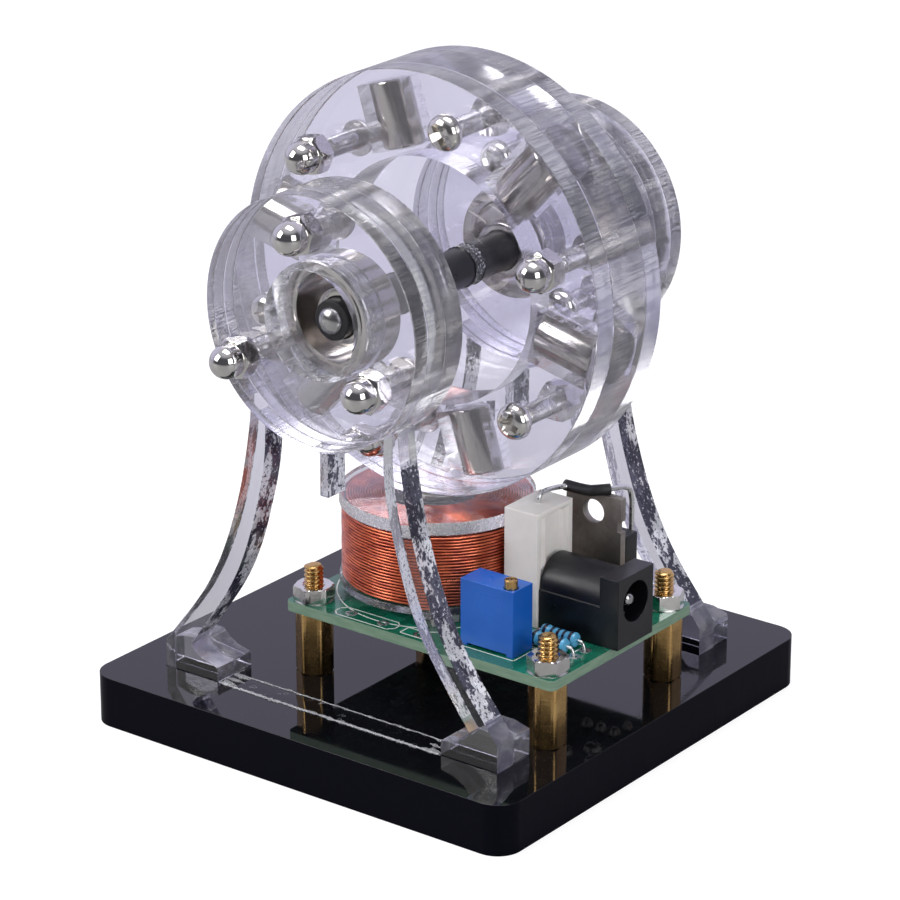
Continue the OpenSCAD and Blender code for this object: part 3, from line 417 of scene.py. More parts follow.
FACE = clear_face()
CUT = clear_cut()
LEG_PAINTED_REFLECTION = leg_cut()
FOOT = foot_cut()
BORE = clear_bore()
FIT = close_fit()
SUNK = sunk_bar()
HUB = hub_fit()
GLUE = set_glue()
BLACK = black_acrylic()
BLACK_EDGE = black_cut()
MAGNET = plated("plated_magnet", (0.58, 0.555, 0.53), 0.08, 0.2, (1, 0.04, 1))
SCREW = plated("screw_steel", (0.74, 0.72, 0.69), 0.1, 0.24, (1, 0.3, 1), 0.18)
ACORN = plated("acorn_plate", (0.72, 0.7, 0.675), 0.03, 0.09, (1, 0.5, 1), 0.04)
SHAFT = satin_black("shaft_black", (0.012, 0.012, 0.014), 0.34, 1900, turned=True)
TIP = plated("tip_steel", (0.5, 0.5, 0.5), 0.14, 0.3, (1, 0.1, 1))
BOBBIN = moulded("bobbin", (0.6, 0.57, 0.52), 0.35, 1200, 0.1)
CORE = plated("core_iron", (0.36, 0.35, 0.34), 0.3, 0.5, (1, 1, 0.05), 0.3)
# Each wire's second colour is painted shade for the gaps between turns
WIRE = enamelled_wire("enamelled_wire", (0.85, 0.2, 0.085), (0.34, 0.035, 0.018))
# The wire below is painted shade all over, nearly black, for what shows in those gaps
WIRE_PAINTED_SHADE = enamelled_wire("wire_below", (0.06, 0.006, 0.004), (0.03, 0.004, 0.003))
MASK = green_mask()
CLOTH_EDGE = glass_cloth_edge()
PRINT = white_print()
TINNED = tinned()
BRASS = turned_brass()
BLUE = moulded("blue_housing", (0.006, 0.12, 0.56), 0.3, 1500, 0.12, 0.15)
BLACK_PLASTIC = satin_black("black_housing", (0.004, 0.004, 0.006), 0.34, 1300, 0.12)
SLEEVE = satin_black("black_sleeve", (0.01, 0.01, 0.011), 0.48, 2200, 0.25)
CERAMIC = fired_ceramic()
TAB = dull_tab()
FILM = banded_blue()
PAD = moulded("thrust_pad", (0.8, 0.79, 0.76), 0.4, 1500, 0.1)

FINISH_OF_SLOT = {
    "black_acrylic": BLACK, "clear_acrylic": FACE, "thrust_pad": PAD, "plated_magnet": MAGNET,
    "screw_steel": SCREW, "acorn_nuts": ACORN, "shaft_black": SHAFT, "tip_steel": TIP, "bobbin": BOBBIN,
    "core_iron": CORE, "enamelled_wire": WIRE, "green_board": MASK, "brass": BRASS, "blue_housing": BLUE,
    "black_housing": BLACK_PLASTIC, "tinned_metal": TINNED, "white_ceramic": CERAMIC, "tab_metal": TAB,
    "blue_lacquer": FILM,
}


# Making pieces

def evaluated(piece):
    """A plain mesh of what the object's modifiers make."""
    bpy.context.view_layer.update()
    mesh = bpy.data.meshes.new_from_object(piece.evaluated_get(bpy.context.evaluated_depsgraph_get()))
    piece.modifiers.clear()
    return mesh


def with_flat_faces(piece):
    """The mesh with normals that lean to the larger faces, so broken edges stay round and walls stay flat."""
    modifier = piece.modifiers.new("weigh", "WEIGHTED_NORMAL")
    modifier.weight = 100
    modifier.keep_sharp = True
    return evaluated(piece)


def put(name, mesh, materials, node, replaced=None, sharp=30, weighted=False):
    """A piece on the body of node, with the given materials. It takes that node's place, or the places of the
    replaced nodes, which may be none."""
    mesh.name = name
    # Clearing the slots also sets every face back to the first one
    if len(mesh.materials):
        mesh.materials.clear()
    for material in materials:
        mesh.materials.append(material)
    mesh.shade_smooth()
    mesh.set_sharp_from_angle(angle=math.radians(sharp))
    piece = bpy.data.objects.new(name, mesh)
    scene.collection.objects.link(piece)
    if weighted:
        piece.data = with_flat_faces(piece)
        piece.data.name = name
    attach(piece, BODY_OF[node])
    if replaced is None:
        replaced = [node]
    if replaced:
        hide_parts(*replaced)


def mesh_of(bm):
    mesh = bpy.data.meshes.new("made")
    bmesh.ops.recalc_face_normals(bm, faces=bm.faces)
    bm.to_mesh(mesh)
    bm.free()
    return mesh


def welded(node):
    """A clean copy of a node's mesh with its flat faces joined up."""
    near, flat = 0.0005 * MM, math.radians(0.4)
    source = nodes[node].data
    bm = bmesh.new()
    for v in source.vertices:
        bm.verts.new(v.co)
    bm.verts.ensure_lookup_table()
    for p in source.polygons:
        try:
            bm.faces.new([bm.verts[i] for i in p.vertices])
        except ValueError:
            # A face on these corners is already there
            pass
    bmesh.ops.remove_doubles(bm, verts=bm.verts, dist=near)
    bmesh.ops.dissolve_degenerate(bm, edges=bm.edges, dist=near)
    bmesh.ops.dissolve_limit(bm, angle_limit=flat, verts=bm.verts, edges=bm.edges)
    return bm


def break_edges(bm, width, segments=1, corner=40):
    sharp = [e for e in bm.edges if len(e.link_faces) == 2 and e.calc_face_angle(0) > math.radians(corner)]
    bmesh.ops.bevel(
        bm, geom=sharp, offset=width * MM, offset_type="OFFSET", segments=segments, profile=0.5,
        affect="EDGES", clamp_overlap=True)


def eased(node, width, segments=1, corner=40, material=None):
    """The node's own shape with broken edges."""
    bm = welded(node)
    break_edges(bm, width, segments, corner)
    finish = material or FINISH_OF_SLOT[SLOT_OF[node]]
    put(node + "_eased", mesh_of(bm), [finish], node, sharp=60, weighted=True)


def by_slope(level, rim, share):
    """Picks one finish for level faces, whose normals rise by more than the share, and one for the rest."""
    return lambda face: level if abs(face.normal.z) > share else rim


def put_faced(name, bm, width, finishes, choose, node, replaced=None, segments=1, sharp=60, weighted=True):
    """A shape with broken edges, where choose picks each face's finish."""
    bm.normal_update()
    break_edges(bm, width, segments)
    bm.normal_update()
    for face in bm.faces:
        face.material_index = finishes.index(choose(face))
    put(name, mesh_of(bm), finishes, node, replaced, sharp, weighted)


def grid(rows, close_ends=True):
    """A closed skin over rows of points in millimetres that all have the same count."""
    bm = bmesh.new()
    made = [[bm.verts.new(Vector(p) * MM) for p in row] for row in rows]
    count = len(rows[0])
    for a, b in zip(made, made[1:]):
        for i in range(count):
            j = (i + 1) % count
            bm.faces.new((a[i], a[j], b[j], b[i]))
    if close_ends:
        bm.faces.new(made[0][::-1])
        bm.faces.new(made[-1])
    return bm


def lathe(profile, around=64, closed=False):
    """Turns (radius, height) pairs round +Z. A closed profile makes a ring."""
    rows = [[(*polar(radius, 360 * k / around), height) for k in range(around)] for radius, height in profile]
    if closed:
        rows.append(rows[0])
    bm = grid(rows, not closed)
    if closed:
        bmesh.ops.remove_doubles(bm, verts=bm.verts, dist=0.0002 * MM)
    return bm


def flat_ring(inner, outer, low, high, around):
    return lathe([(inner, low), (outer, low), (outer, high), (inner, high)], around, True)


def mirrored(end, length):
    """The profile of one end, and on to the same end at the other side."""
    return end + [(radius, length - height) for radius, height in end[::-1]]


def hexagon(profile, across_flats):
    """Rows of a nut: (limit, height), where the limit is the turned radius that cuts the corners."""
    per_side = 8
    rows = []
    for limit, height in profile:
        row = []
        for k in range(6 * per_side):
            angle = 60 * k / per_side
            flat = across_flats / 2 / math.cos(math.radians((angle + 30) % 60 - 30))
            row.append((*polar(min(flat, limit), angle), height))
        rows.append(row)
    return grid(rows)


def thread(radius, start, end, pitch=0.6, depth=0.3):
    """A threaded rod along +Z whose ridge climbs once per pitch, and which narrows at both ends."""
    around, taper, end_share = 24, 0.3, 0.72
    steps = max(2, round((end - start) / (pitch / 8)))
    rows = []
    for i in range(steps + 1):
        z = start + (end - start) * i / steps
        full = min(1, (z - start + 0.02) / taper, (end - z + 0.02) / taper)
        row = []
        for k in range(around):
            wave = (z / pitch - k / around) % 1
            cut = (0.5 + 0.5 * math.cos(math.tau * wave)) ** 1.4 * depth
            row.append((*polar((radius - cut) * (end_share + (1 - end_share) * full), 360 * k / around), z))
        rows.append(row)
    return grid(rows)


def joined(*parts):
    """One mesh from several bmeshes, freed as they are taken in."""
    whole = bmesh.new()
    for part in parts:
        mesh = mesh_of(part)
        whole.from_mesh(mesh)
        bpy.data.meshes.remove(mesh)
    return whole


def loose(name, bm, sharp=30):
    """An object that only serves as a part for the trees and cuts below."""
    mesh = mesh_of(bm)
    mesh.shade_smooth()
    mesh.set_sharp_from_angle(angle=math.radians(sharp))
    return bpy.data.objects.new(name, mesh)


def carved(body, cutters, how="DIFFERENCE"):
    """The body without the cutters' volumes, or with them, as a fresh mesh."""
    for cutter in cutters:
        cut = body.modifiers.new("cut", "BOOLEAN")
        cut.operation = how
        cut.object = cutter
        cut.solver = "EXACT"
        for o in (body, cutter):
            scene.collection.objects.link(o)
        mesh = evaluated(body)
        for o in (body, cutter):
            scene.collection.objects.unlink(o)
        body = bpy.data.objects.new("carved", mesh)
    return mesh


def placed(x, y, z, turn=0, axis="Z"):
    """The matrix that turns by degrees and then moves by millimetres."""
    return Matrix.Translation(Vector((x, y, z)) * MM) @ Matrix.Rotation(math.radians(turn), 4, axis)


# Node trees for what repeats or follows a path

def new_tree(name, inputs):
    """A tree with these inputs besides its geometry, and the sockets that give them."""
    tree = bpy.data.node_groups.new(name, "GeometryNodeTree")
    tree.interface.new_socket("Geometry", in_out="INPUT", socket_type="NodeSocketGeometry")
    tree.interface.new_socket("Geometry", in_out="OUTPUT", socket_type="NodeSocketGeometry")
    for label, kind in inputs.items():
        tree.interface.new_socket(label, in_out="INPUT", socket_type="NodeSocket" + kind)
    t = Nodes(tree)
    return t, t.add("NodeGroupInput").outputs


def ended(t, geometry, finish):
    """The tree, ended in real geometry with its finish, because the export drops instances."""
    real = t.add("GeometryNodeRealizeInstances", {"Geometry": geometry}).outputs["Geometry"]
    covered = t.add("GeometryNodeSetMaterial", {"Geometry": real, "Material": finish}).outputs["Geometry"]
    t.add("NodeGroupOutput", {"Geometry": covered})
    return t.tree


def placing_tree():
    """Sets one part on every point, turned as the point says."""
    t, given = new_tree("parts_on_points", {"Part": "Object", "Finish": "Material"})
    part = t.add("GeometryNodeObjectInfo", {"Object": given["Part"]}).outputs["Geometry"]
    turn = t.add("GeometryNodeInputNamedAttribute", {"Name": "turn"}, data_type="FLOAT_VECTOR")
    rotation = t.add("FunctionNodeEulerToRotation", {"Euler": turn.outputs["Attribute"]}).outputs["Rotation"]
    parts = t.add("GeometryNodeInstanceOnPoints", {
        "Points": given["Geometry"], "Instance": part, "Rotation": rotation})
    return ended(t, parts.outputs["Instances"], given["Finish"])


def winding_tree():
    """A round wire in a spiral: flat when its height is zero, a coil when its radii are alike."""
    t, given = new_tree("wound_wire", {
        "Start Radius": "Float", "End Radius": "Float", "Height": "Float", "Turns": "Float",
        "Wire Radius": "Float", "Points per Turn": "Int", "Sides": "Int", "Wander": "Float",
        "Finish": "Material"})
    spiral = t.add("GeometryNodeCurveSpiral", {
        "Resolution": given["Points per Turn"], "Rotations": given["Turns"], "Height": given["Height"],
        "Start Radius": given["Start Radius"], "End Radius": given["End Radius"]})
    place = t.add("GeometryNodeInputPosition").outputs["Position"]
    cloud = t.add("ShaderNodeTexNoise", {"Vector": place, "Scale": 420.0, "Detail": 2.0}).outputs["Color"]
    centred = t.add("ShaderNodeVectorMath", {0: cloud, 1: (0.5, 0.5, 0.5)}, operation="SUBTRACT")
    wander = t.add("ShaderNodeVectorMath", {
        0: centred.outputs["Vector"], "Scale": given["Wander"]}, operation="SCALE")
    path = t.add("GeometryNodeSetPosition", {
        "Geometry": spiral.outputs["Curve"], "Offset": wander.outputs["Vector"]})
    profile = t.add("GeometryNodeCurvePrimitiveCircle", {
        "Resolution": given["Sides"], "Radius": given["Wire Radius"]})
    skin = t.add("GeometryNodeCurveToMesh", {
        "Curve": path.outputs["Geometry"], "Profile Curve": profile.outputs["Curve"], "Fill Caps": True})
    return ended(t, skin.outputs["Mesh"], given["Finish"])


PLACING = placing_tree()
WINDING = winding_tree()


def grown(tree, values, base=None):
    """The plain mesh that a tree makes from these inputs."""
    holder = bpy.data.objects.new("holder", base or bpy.data.meshes.new("empty"))
    modifier = holder.modifiers.new("grow", "NODES")
    modifier.node_group = tree
    names = {s.name: s.identifier for s in tree.interface.items_tree if s.in_out == "INPUT"}
    for label, value in values.items():
        modifier[names[label]] = value
    scene.collection.objects.link(holder)
    mesh = evaluated(holder)
    bpy.data.objects.remove(holder)
    return mesh


def set_of(name, part, places, material, node, replaced=None, sharp=30):
    """The part on every place: (point in millimetres, turn as Euler angles in degrees)."""
    points = bpy.data.meshes.new("points")
    points.from_pydata([Vector(p) * MM for p, _ in places], [], [])
    turn = points.attributes.new("turn", "FLOAT_VECTOR", "POINT")
    for i, (_, angles) in enumerate(places):
        turn.data[i].vector = [math.radians(a) for a in angles]
    mesh = grown(PLACING, {"Part": part, "Finish": material}, points)
    if "turn" in mesh.attributes:
        mesh.attributes.remove(mesh.attributes["turn"])
    put(name, mesh, [material], node, replaced, sharp)


def along_y(end, spin=0.0):
    """Turn of a part drawn along +Z that then points along Y, towards the given end."""
    pointing = Euler((math.radians(-90 if end == REAR else 90), 0, 0)).to_matrix()
    turned = pointing @ Matrix.Rotation(math.radians(spin), 3, "Z")
    return tuple(math.degrees(a) for a in turned.to_euler())


def round_axis(radius, angle, y, axis_z):
    """The point at this distance and angle from an axis along Y."""
    x, z = polar(radius, angle)
    return x, y, axis_z + z


def upright(places, z):
    return [((x, y, z), (0, 0, 0)) for x, y in places]


# Hardware

# Distance from the face that an acorn nut sits on to the end of the screw inside it
IN_NUT = 4.6
NUT_FLATS = 5.5
BEARING_ANGLES = (90, 210, 330)
# Each end, and where along Y its screw heads and its nuts sit
BEARINGS = ((FRONT, "front", -22, -33), (REAR, "rear", 19, 33))


def pan_screw(shank):
    """A pan head with a cross recess, its seat at z = 0 and its threaded shank below."""
    profile = [(0.01, 0.0), (1.5, 0.0), (2.66, 0.0), (2.74, 0.03), (2.8, 0.16), (2.79, 0.5), (2.7, 0.95),
               (2.5, 1.42), (2.15, 1.82), (1.6, 2.06), (0.9, 2.17), (0.01, 2.2)]
    # Height, half length and half width of one arm of the recess
    recess = ((0.6, 0.6, 0.36), (1.4, 1.35, 0.48), (2.6, 2.0, 0.62))
    arms = []
    for c, s in ((1, 0), (0, 1)):
        rows = []
        for z, half, wide in recess:
            corners = ((half, -wide), (half, wide), (-half, wide), (-half, -wide))
            rows.append([(c * x - s * y, s * x + c * y, z) for x, y in corners])
        arms.append(loose("arm", grid(rows)))
    head = bmesh.new()
    head.from_mesh(carved(loose("head", lathe(profile, 48)), arms))
    return loose("pan_screw", joined(head, thread(THREAD_R, -shank, 0.3)), sharp=38)


def acorn_nut():
    """A domed nut that stands on z = 0: a hexagon with turned corners, a neck and a ball."""
    half, corner = NUT_FLATS / 2, 3.18
    rows = [(0.9, 0.0), (half + 0.02, 0.0), (half + 0.14, 0.05), (half + 0.3, 0.13), (corner, 0.26),
            (corner, 2.42), (half + 0.3, 2.6), (half + 0.08, 2.7), (half - 0.1, 2.76), (2.52, 2.8)]
    ball_r, ball_z = 2.5, 4.0
    ball = [(2.3, 2.6), (ball_r, 2.7), (ball_r, ball_z)]
    for k in range(1, 12):
        radius, rise = polar(ball_r, 7.5 * k)
        ball.append((radius, ball_z + rise))
    ball.append((0.01, ball_z + ball_r))
    return loose("acorn_nut", joined(hexagon(rows, NUT_FLATS), lathe(ball)), sharp=28)


def plain_nut():
    half, corner = NUT_FLATS / 2, 3.18
    rows = [(1.52, 0.25), (1.75, 0.0), (half, 0.0), (half + 0.3, 0.1), (corner, 0.26), (corner, 2.14),
            (half + 0.3, 2.3), (half, 2.4), (1.78, 2.4), (1.52, 2.15)]
    return loose("plain_nut", hexagon(rows, NUT_FLATS), sharp=28)


STANDOFF_HALF, STANDOFF_CORNER = 2.5, 2.89


def standoff():
    """A brass hexagon with broken corners and a threaded stud on top."""
    half, corner, tall = STANDOFF_HALF, STANDOFF_CORNER, 10.0
    rows = [(0.9, 0.0), (half, 0.0), (half + 0.25, 0.12), (corner, 0.24), (corner, tall - 0.24),
            (half + 0.25, tall - 0.12), (half, tall), (1.3, tall)]
    stud = thread(THREAD_R, tall - 0.1, 17.2, 0.7, 0.36)
    return loose("standoff", joined(hexagon(rows, 2 * half), stud), sharp=38)


ACORN_NUT = acorn_nut()
for end, end_name, head_y, nut_y in BEARINGS:
    screws, nuts = end_name + "_bearing_screws", end_name + "_bearing_nuts"
    heads, domes = [], []
    for angle in BEARING_ANGLES:
        heads.append((round_axis(BEARING_SCREW_R, angle, head_y, RING_Z), along_y(-end, 20 + angle)))
        domes.append((round_axis(BEARING_SCREW_R, angle, nut_y, RING_Z), along_y(end, 13 + angle * 0.37)))
    set_of(screws + "_cut", pan_screw(abs(nut_y - head_y) + IN_NUT), heads, SCREW, screws)
    set_of(nuts + "_domed", ACORN_NUT, domes, ACORN, nuts)

heads, domes = [], []
for i in range(6):
    end = FRONT if i % 2 == 0 else REAR
    angle = FIRST_SCREW_ANGLE + 60 * i
    heads.append((round_axis(ROTOR_SCREW_R, angle, -end * ROTOR_HALF, ROTOR_Z), along_y(-end, 31 * i)))
    domes.append((round_axis(ROTOR_SCREW_R, angle, end * ROTOR_HALF, ROTOR_Z), along_y(end, 17 * i + 5)))
set_of("rotor_screws_cut", pan_screw(2 * ROTOR_HALF + IN_NUT), heads, SCREW, "rotor_screws")
set_of("rotor_nuts_domed", ACORN_NUT, domes, ACORN, "rotor_nuts")

low, high = box_mm("standoffs")
standoff_places = [
    (x, y) for x in (low.x + STANDOFF_CORNER, high.x - STANDOFF_CORNER)
    for y in (low.y + STANDOFF_HALF, high.y - STANDOFF_HALF)]
BASE_SCREW_SEAT, BASE_SCREW_SHANK = 2.4, 10.1
turned_nuts = [((x, y, BOARD_TOP), (0, 0, 14 + 23 * i)) for i, (x, y) in enumerate(standoff_places)]
hanging_screws = [((x, y, BASE_SCREW_SEAT), (180, 0, 30 * i)) for i, (x, y) in enumerate(standoff_places)]
set_of("standoffs_turned", standoff(), upright(standoff_places, BASE_TOP), BRASS, "standoffs", sharp=38)
set_of("standoff_nuts_chamfered", plain_nut(), turned_nuts, SCREW, "standoff_nuts")
set_of("base_screws_cut", pan_screw(BASE_SCREW_SHANK), hanging_screws, SCREW, "base_screws")


# Clear sheets

RING_BORE_R = 8.9
FRONT_COVER_BORE_R = 8.1
HUB_R = 3.2
# Radii between which the screw holes lie, and between which the rotor's pockets and screw holes lie
SCREWS_IN_HEAD = (11.6, 16.1)
POCKETS = (19.2, 31.2)
# Width of the sheets' broken edges, and how far from a wall a face may lie that still belongs to it
SHEET_EDGE, EDGE_MARGIN = 0.16, 0.3

# A leg's inner and outer edge from the head down, as (distance from the middle, height)
LEG_INNER = ((10.9, 56), (10.8, 51), (11.05, 46.5), (11.9, 41.7), (13.05, 37.3), (14.1, 33.6), (15.3, 30.2),
             (16.8, 26.8), (18.7, 23.4), (21.2, 19.7), (23.9, 15.9), (26.2, 12.9))
LEG_OUTER = ((13.5, 56), (13.8, 52), (14.6, 46.8), (15.8, 41), (17.35, 35.6), (19, 31), (20.8, 27),
             (23.1, 22.9), (25.8, 19.1), (28.2, 16.1), (29.9, 13.9), (31.2, 12.2))
# Distances of a foot's ends from the middle, and its top between the leg and its inner end
FOOT_END, FOOT_START = 31.2, 21
FOOT_CURVE = ((25.2, 11.8), (23.6, 10.9), (FOOT_START, 10.3))
TONGUE_HALF, TONGUE_END = 0.8, 43


def cut_sheet(node, centre_z, bore_r, fit, bore_finish=BORE, legged=False, shape=None, name=None,
              replaced=None):
    """A clear sheet: smooth faces, striated rims, and its own finish on bored walls, between the fit's two
    radii, where screws and magnets sit, on the legs, on the feet and on what lies flush in the base."""

    def choose(face):
        middle = face.calc_center_median()
        reach = math.hypot(middle.x, middle.z - centre_z * MM) / MM
        height = middle.z / MM
        if abs(face.normal.y) > 0.95:
            return FACE
        if bore_r and reach < bore_r + EDGE_MARGIN:
            return bore_finish
        if fit[0] < reach < fit[1]:
            return FIT
        # Leg rims get the finish with painted reflections and painted glints
        if legged and FOOT_TOP < height < LEG_TOP:
            return LEG_PAINTED_REFLECTION
        if face.normal.z > 0.9 and height < BASE_TOP + EDGE_MARGIN:
            return SUNK
        return FOOT if height < FOOT_TOP else CUT

    finishes = [FACE, CUT, bore_finish, FIT, LEG_PAINTED_REFLECTION, SUNK, FOOT]
    put_faced((name or node) + "_sheet", shape or welded(node), SHEET_EDGE, finishes, choose, node, replaced)


def smooth_line(points, steps=6):
    """A curve through the points, which keeps their first and last."""
    line = [Vector(p) for p in points]
    made = []
    for i in range(len(line) - 1):
        before, a, b, after = line[max(i - 1, 0)], line[i], line[i + 1], line[min(i + 2, len(line) - 1)]
        for k in range(steps):
            t = k / steps
            made.append(0.5 * (2 * a + (b - before) * t + (2 * before - 5 * a + 4 * b - after) * t ** 2
                               + (3 * a - before - 3 * b + after) * t ** 3))
    return made + [line[-1]]


def slab(outline, low_y, high_y, side=1):
    """An outline in the sheet's plane, given its thickness."""
    return grid([[(side * x, y, z) for x, z in outline] for y in (low_y, high_y)])


def upright_bar(half, low, high):
    return [(-half, low), (half, low), (half, high), (-half, high)]


def put_frame(end_name, disc, bar, frame_node):
    """The legged sheet, with its tongue and sunk bar, and the disc with foot blocks behind it."""
    lo, hi = box_mm(disc)
    # The legs and the tongue reach a little into the bar and into the disc, so that they fuse
    leg = [*smooth_line(LEG_INNER), *FOOT_CURVE, (FOOT_START, BASE_TOP - 0.1), (FOOT_END, BASE_TOP - 0.1),
           *smooth_line(LEG_OUTER[::-1])]
    tongue = upright_bar(TONGUE_HALF, TONGUE_END, TONGUE_END + 10)
    sunk = upright_bar(FOOT_END, box_mm(bar)[0].z, BASE_TOP)
    adds = [(leg, -1), (leg, 1), (tongue, 1), (sunk, 1)]
    cutters = [loose("add", slab(outline, lo.y, hi.y, side)) for outline, side in adds]
    shape = bmesh.new()
    shape.from_mesh(carved(loose("disc", welded(disc)), cutters, "UNION"))
    bmesh.ops.remove_doubles(shape, verts=shape.verts, dist=0.002 * MM)
    bmesh.ops.dissolve_limit(shape, angle_limit=math.radians(0.4), verts=shape.verts, edges=shape.edges)
    cut_sheet(disc, RING_Z, RING_BORE_R, SCREWS_IN_HEAD, legged=True, shape=shape, name=end_name + "_legged",
              replaced=[disc, bar])

    back_lo, back_hi = box_mm(frame_node)
    backing = welded(disc)
    for v in backing.verts:
        v.co.y = (back_lo.y if v.co.y / MM < (lo.y + hi.y) / 2 else back_hi.y) * MM
    block = [LEG_OUTER[-1], (28.6, LEG_INNER[-1][1]), LEG_INNER[-1], *FOOT_CURVE, (FOOT_START, BASE_TOP),
             (FOOT_END, BASE_TOP)]
    blocks = [slab(block, back_lo.y, back_hi.y, side) for side in (-1, 1)]
    cut_sheet(frame_node, RING_Z, RING_BORE_R, SCREWS_IN_HEAD, legged=True, shape=joined(backing, *blocks),
              name=end_name + "_backing")


cut_sheet("front_cover", RING_Z, FRONT_COVER_BORE_R, SCREWS_IN_HEAD)
cut_sheet("rear_cover", RING_Z, RING_BORE_R, SCREWS_IN_HEAD)
cut_sheet("thrust_plate", RING_Z, None, SCREWS_IN_HEAD)
put_frame("front", "front_disc", "front_foot_bar", "front_frame")
put_frame("rear", "rear_disc", "rear_foot_bar", "rear_frame")
cut_sheet("rotor_front_plate", ROTOR_Z, HUB_R, POCKETS, HUB)
cut_sheet("rotor_rear_plate", ROTOR_Z, HUB_R, POCKETS, HUB)
cut_sheet("rotor_carrier", ROTOR_Z, None, POCKETS)


def bead(y, x_from, x_to, seed, radius):
    """A rough bead of set glue along X at the base's top, thick and thin by turns."""
    spacing, sides = 0.35, 10
    steps = int(abs(x_to - x_from) / spacing)
    rows = []
    for i in range(steps + 1):
        x = x_from + (x_to - x_from) * i / steps
        here = Vector((x * 0.9, seed, 0))
        swell = radius * (0.75 + 1.1 * noise.noise(here) + 0.7 * noise.noise(here * 3.1))
        swell = max(0.08, swell) * min(1, 0.15 + i / 4, 0.15 + (steps - i) / 4)
        drift = 0.22 * noise.noise(here * 0.6 + Vector((0, 0, 7)))
        section = [polar(swell, 360 * k / sides) for k in range(sides)]
        rows.append([(x, y + drift + across, BASE_TOP + 0.05 + 0.55 * up) for across, up in section])
    return grid(rows)


def put_glue(node):
    """Beads along the bar's edges, with lumps at the inner ends of its foot blocks."""
    lo, hi = box_mm(node)
    reach = FOOT_START - 0.2
    beads = [bead(lo.y - 0.05, -reach, reach, 1.0, 0.34), bead(hi.y + 0.05, -reach, reach, 5.0, 0.16)]
    for side in (-1, 1):
        for i, y in enumerate((lo.y + 0.4, (lo.y + hi.y) / 2, hi.y - 0.4)):
            start = side * (FOOT_START - 0.1)
            beads.append(bead(y, start, start - side * 3.3, 11.0 + 3 * i + side, 0.62))
    put(node + "_glue", mesh_of(joined(*beads)), [GLUE], node, (), 60)


put_glue("front_foot_bar")
put_glue("rear_foot_bar")
put_faced("base_plate_polished", welded("base_plate"), 0.3, [BLACK, BLACK_EDGE],
          by_slope(BLACK, BLACK_EDGE, 0.3), "base_plate", segments=2)


# Magnets and shaft

def ring(node, outer, inner, y_low, z):
    """A plated ring magnet along Y with rounded rims."""
    length, edge, inner_edge = 10, 0.35, 0.18
    end = [(inner, 0.2), (inner + inner_edge, 0), (outer - edge, 0), (outer - edge * 0.35, 0.1),
           (outer, edge)]
    bm = lathe(mirrored(end, length), 128, True)
    bm.transform(placed(0, y_low + length, z, 90, "X"))
    put(node + "_plated", mesh_of(bm), [MAGNET], node, sharp=24)


def rod(node, profile, material, places, around=64, sharp=24):
    """Turned parts, drawn along +Z, on every place."""
    part = loose(node + "_part", lathe(profile, around))
    set_of(node + "_turned", part, places, material, node, sharp=sharp)


FIXED_RING, SHAFT_RING = (8.7, 6.5), (4.4, 3.05)
ring("front_ring_magnet", *FIXED_RING, -28, RING_Z)
ring("rear_ring_magnet", *FIXED_RING, 18, RING_Z)
ring("front_shaft_ring", *SHAFT_RING, -26, ROTOR_Z)
ring("rear_shaft_ring", *SHAFT_RING, 16, ROTOR_Z)

shaft_end = [(0.01, 0), (2.6, 0), (2.85, 0.07), (2.98, 0.2), (3, 0.4)]
rod("shaft", mirrored(shaft_end, 2 * SHAFT_HALF), SHAFT, [((0, -SHAFT_HALF, ROTOR_Z), along_y(REAR))])
TIP_R, TIP_LENGTH = 2.1, 1.2
tip = [(TIP_R, -0.3)]
for angle in range(0, 86, 5):
    tip.append((TIP_R * math.cos(math.radians(angle)), TIP_LENGTH * math.sin(math.radians(angle))))
tip.append((0.01, TIP_LENGTH))
tip_places = [((0, end * SHAFT_HALF, ROTOR_Z), along_y(end)) for end in (FRONT, REAR)]
rod("shaft_tips", tip, TIP, tip_places, around=48, sharp=60)

MAGNET_LENGTH = 10
magnet_end = [(0.01, 0), (3.65, 0), (3.85, 0.08), (3.93, 0.22), (3.95, 0.4)]
magnet_places = []
for i in range(6):
    angle = FIRST_SCREW_ANGLE + 30 + 60 * i
    start = round_axis(ROTOR_SCREW_R - MAGNET_LENGTH / 2, angle, 0, ROTOR_Z)
    magnet_places.append((start, (0, 90 - angle, 0)))
rod("rotor_magnets", mirrored(magnet_end, MAGNET_LENGTH), MAGNET, magnet_places)


# Coil

COIL_R = 14.3
COIL_INNER_R = 5.5
WIRE_R = 0.195


def put_wire(name, node, replaced, radii, heights, turns, sides, wander):
    """A layer of wire that winds between these radii and heights."""
    mesh = grown(WINDING, {
        "Start Radius": radii[0] * MM, "End Radius": radii[1] * MM, "Height": (heights[1] - heights[0]) * MM,
        "Turns": float(turns), "Wire Radius": WIRE_R * MM, "Points per Turn": 72, "Sides": sides,
        "Wander": wander * MM, "Finish": WIRE})
    mesh.transform(placed(0, COIL_Y, heights[0]))
    put(name, mesh, [WIRE], node, replaced, 60)


def put_flange():
    """The clear disc on the coil, with a glued rim and its own finish round its middle hole."""
    hole_reach = 5 * MM

    def choose(face):
        middle = face.calc_center_median()
        if abs(face.normal.z) > 0.95:
            return FACE
        return BORE if math.hypot(middle.x, middle.y - COIL_Y * MM) < hole_reach else GLUE

    put_faced("coil_top_flange_sheet", welded("coil_top_flange"), 0.15, [FACE, GLUE, BORE], choose,
              "coil_top_flange")


def put_bobbin():
    """Clear lower disc and hub on small frosted feet."""
    disc_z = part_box("coil_core")[0].z

    def choose(face):
        if face.calc_center_median().z < disc_z - 0.1 * MM:
            return BOBBIN
        return FACE if abs(face.normal.z) > 0.95 else CUT

    put_faced("coil_bobbin_clear", welded("coil_bobbin"), 0.12, [FACE, CUT, BOBBIN], choose, "coil_bobbin")


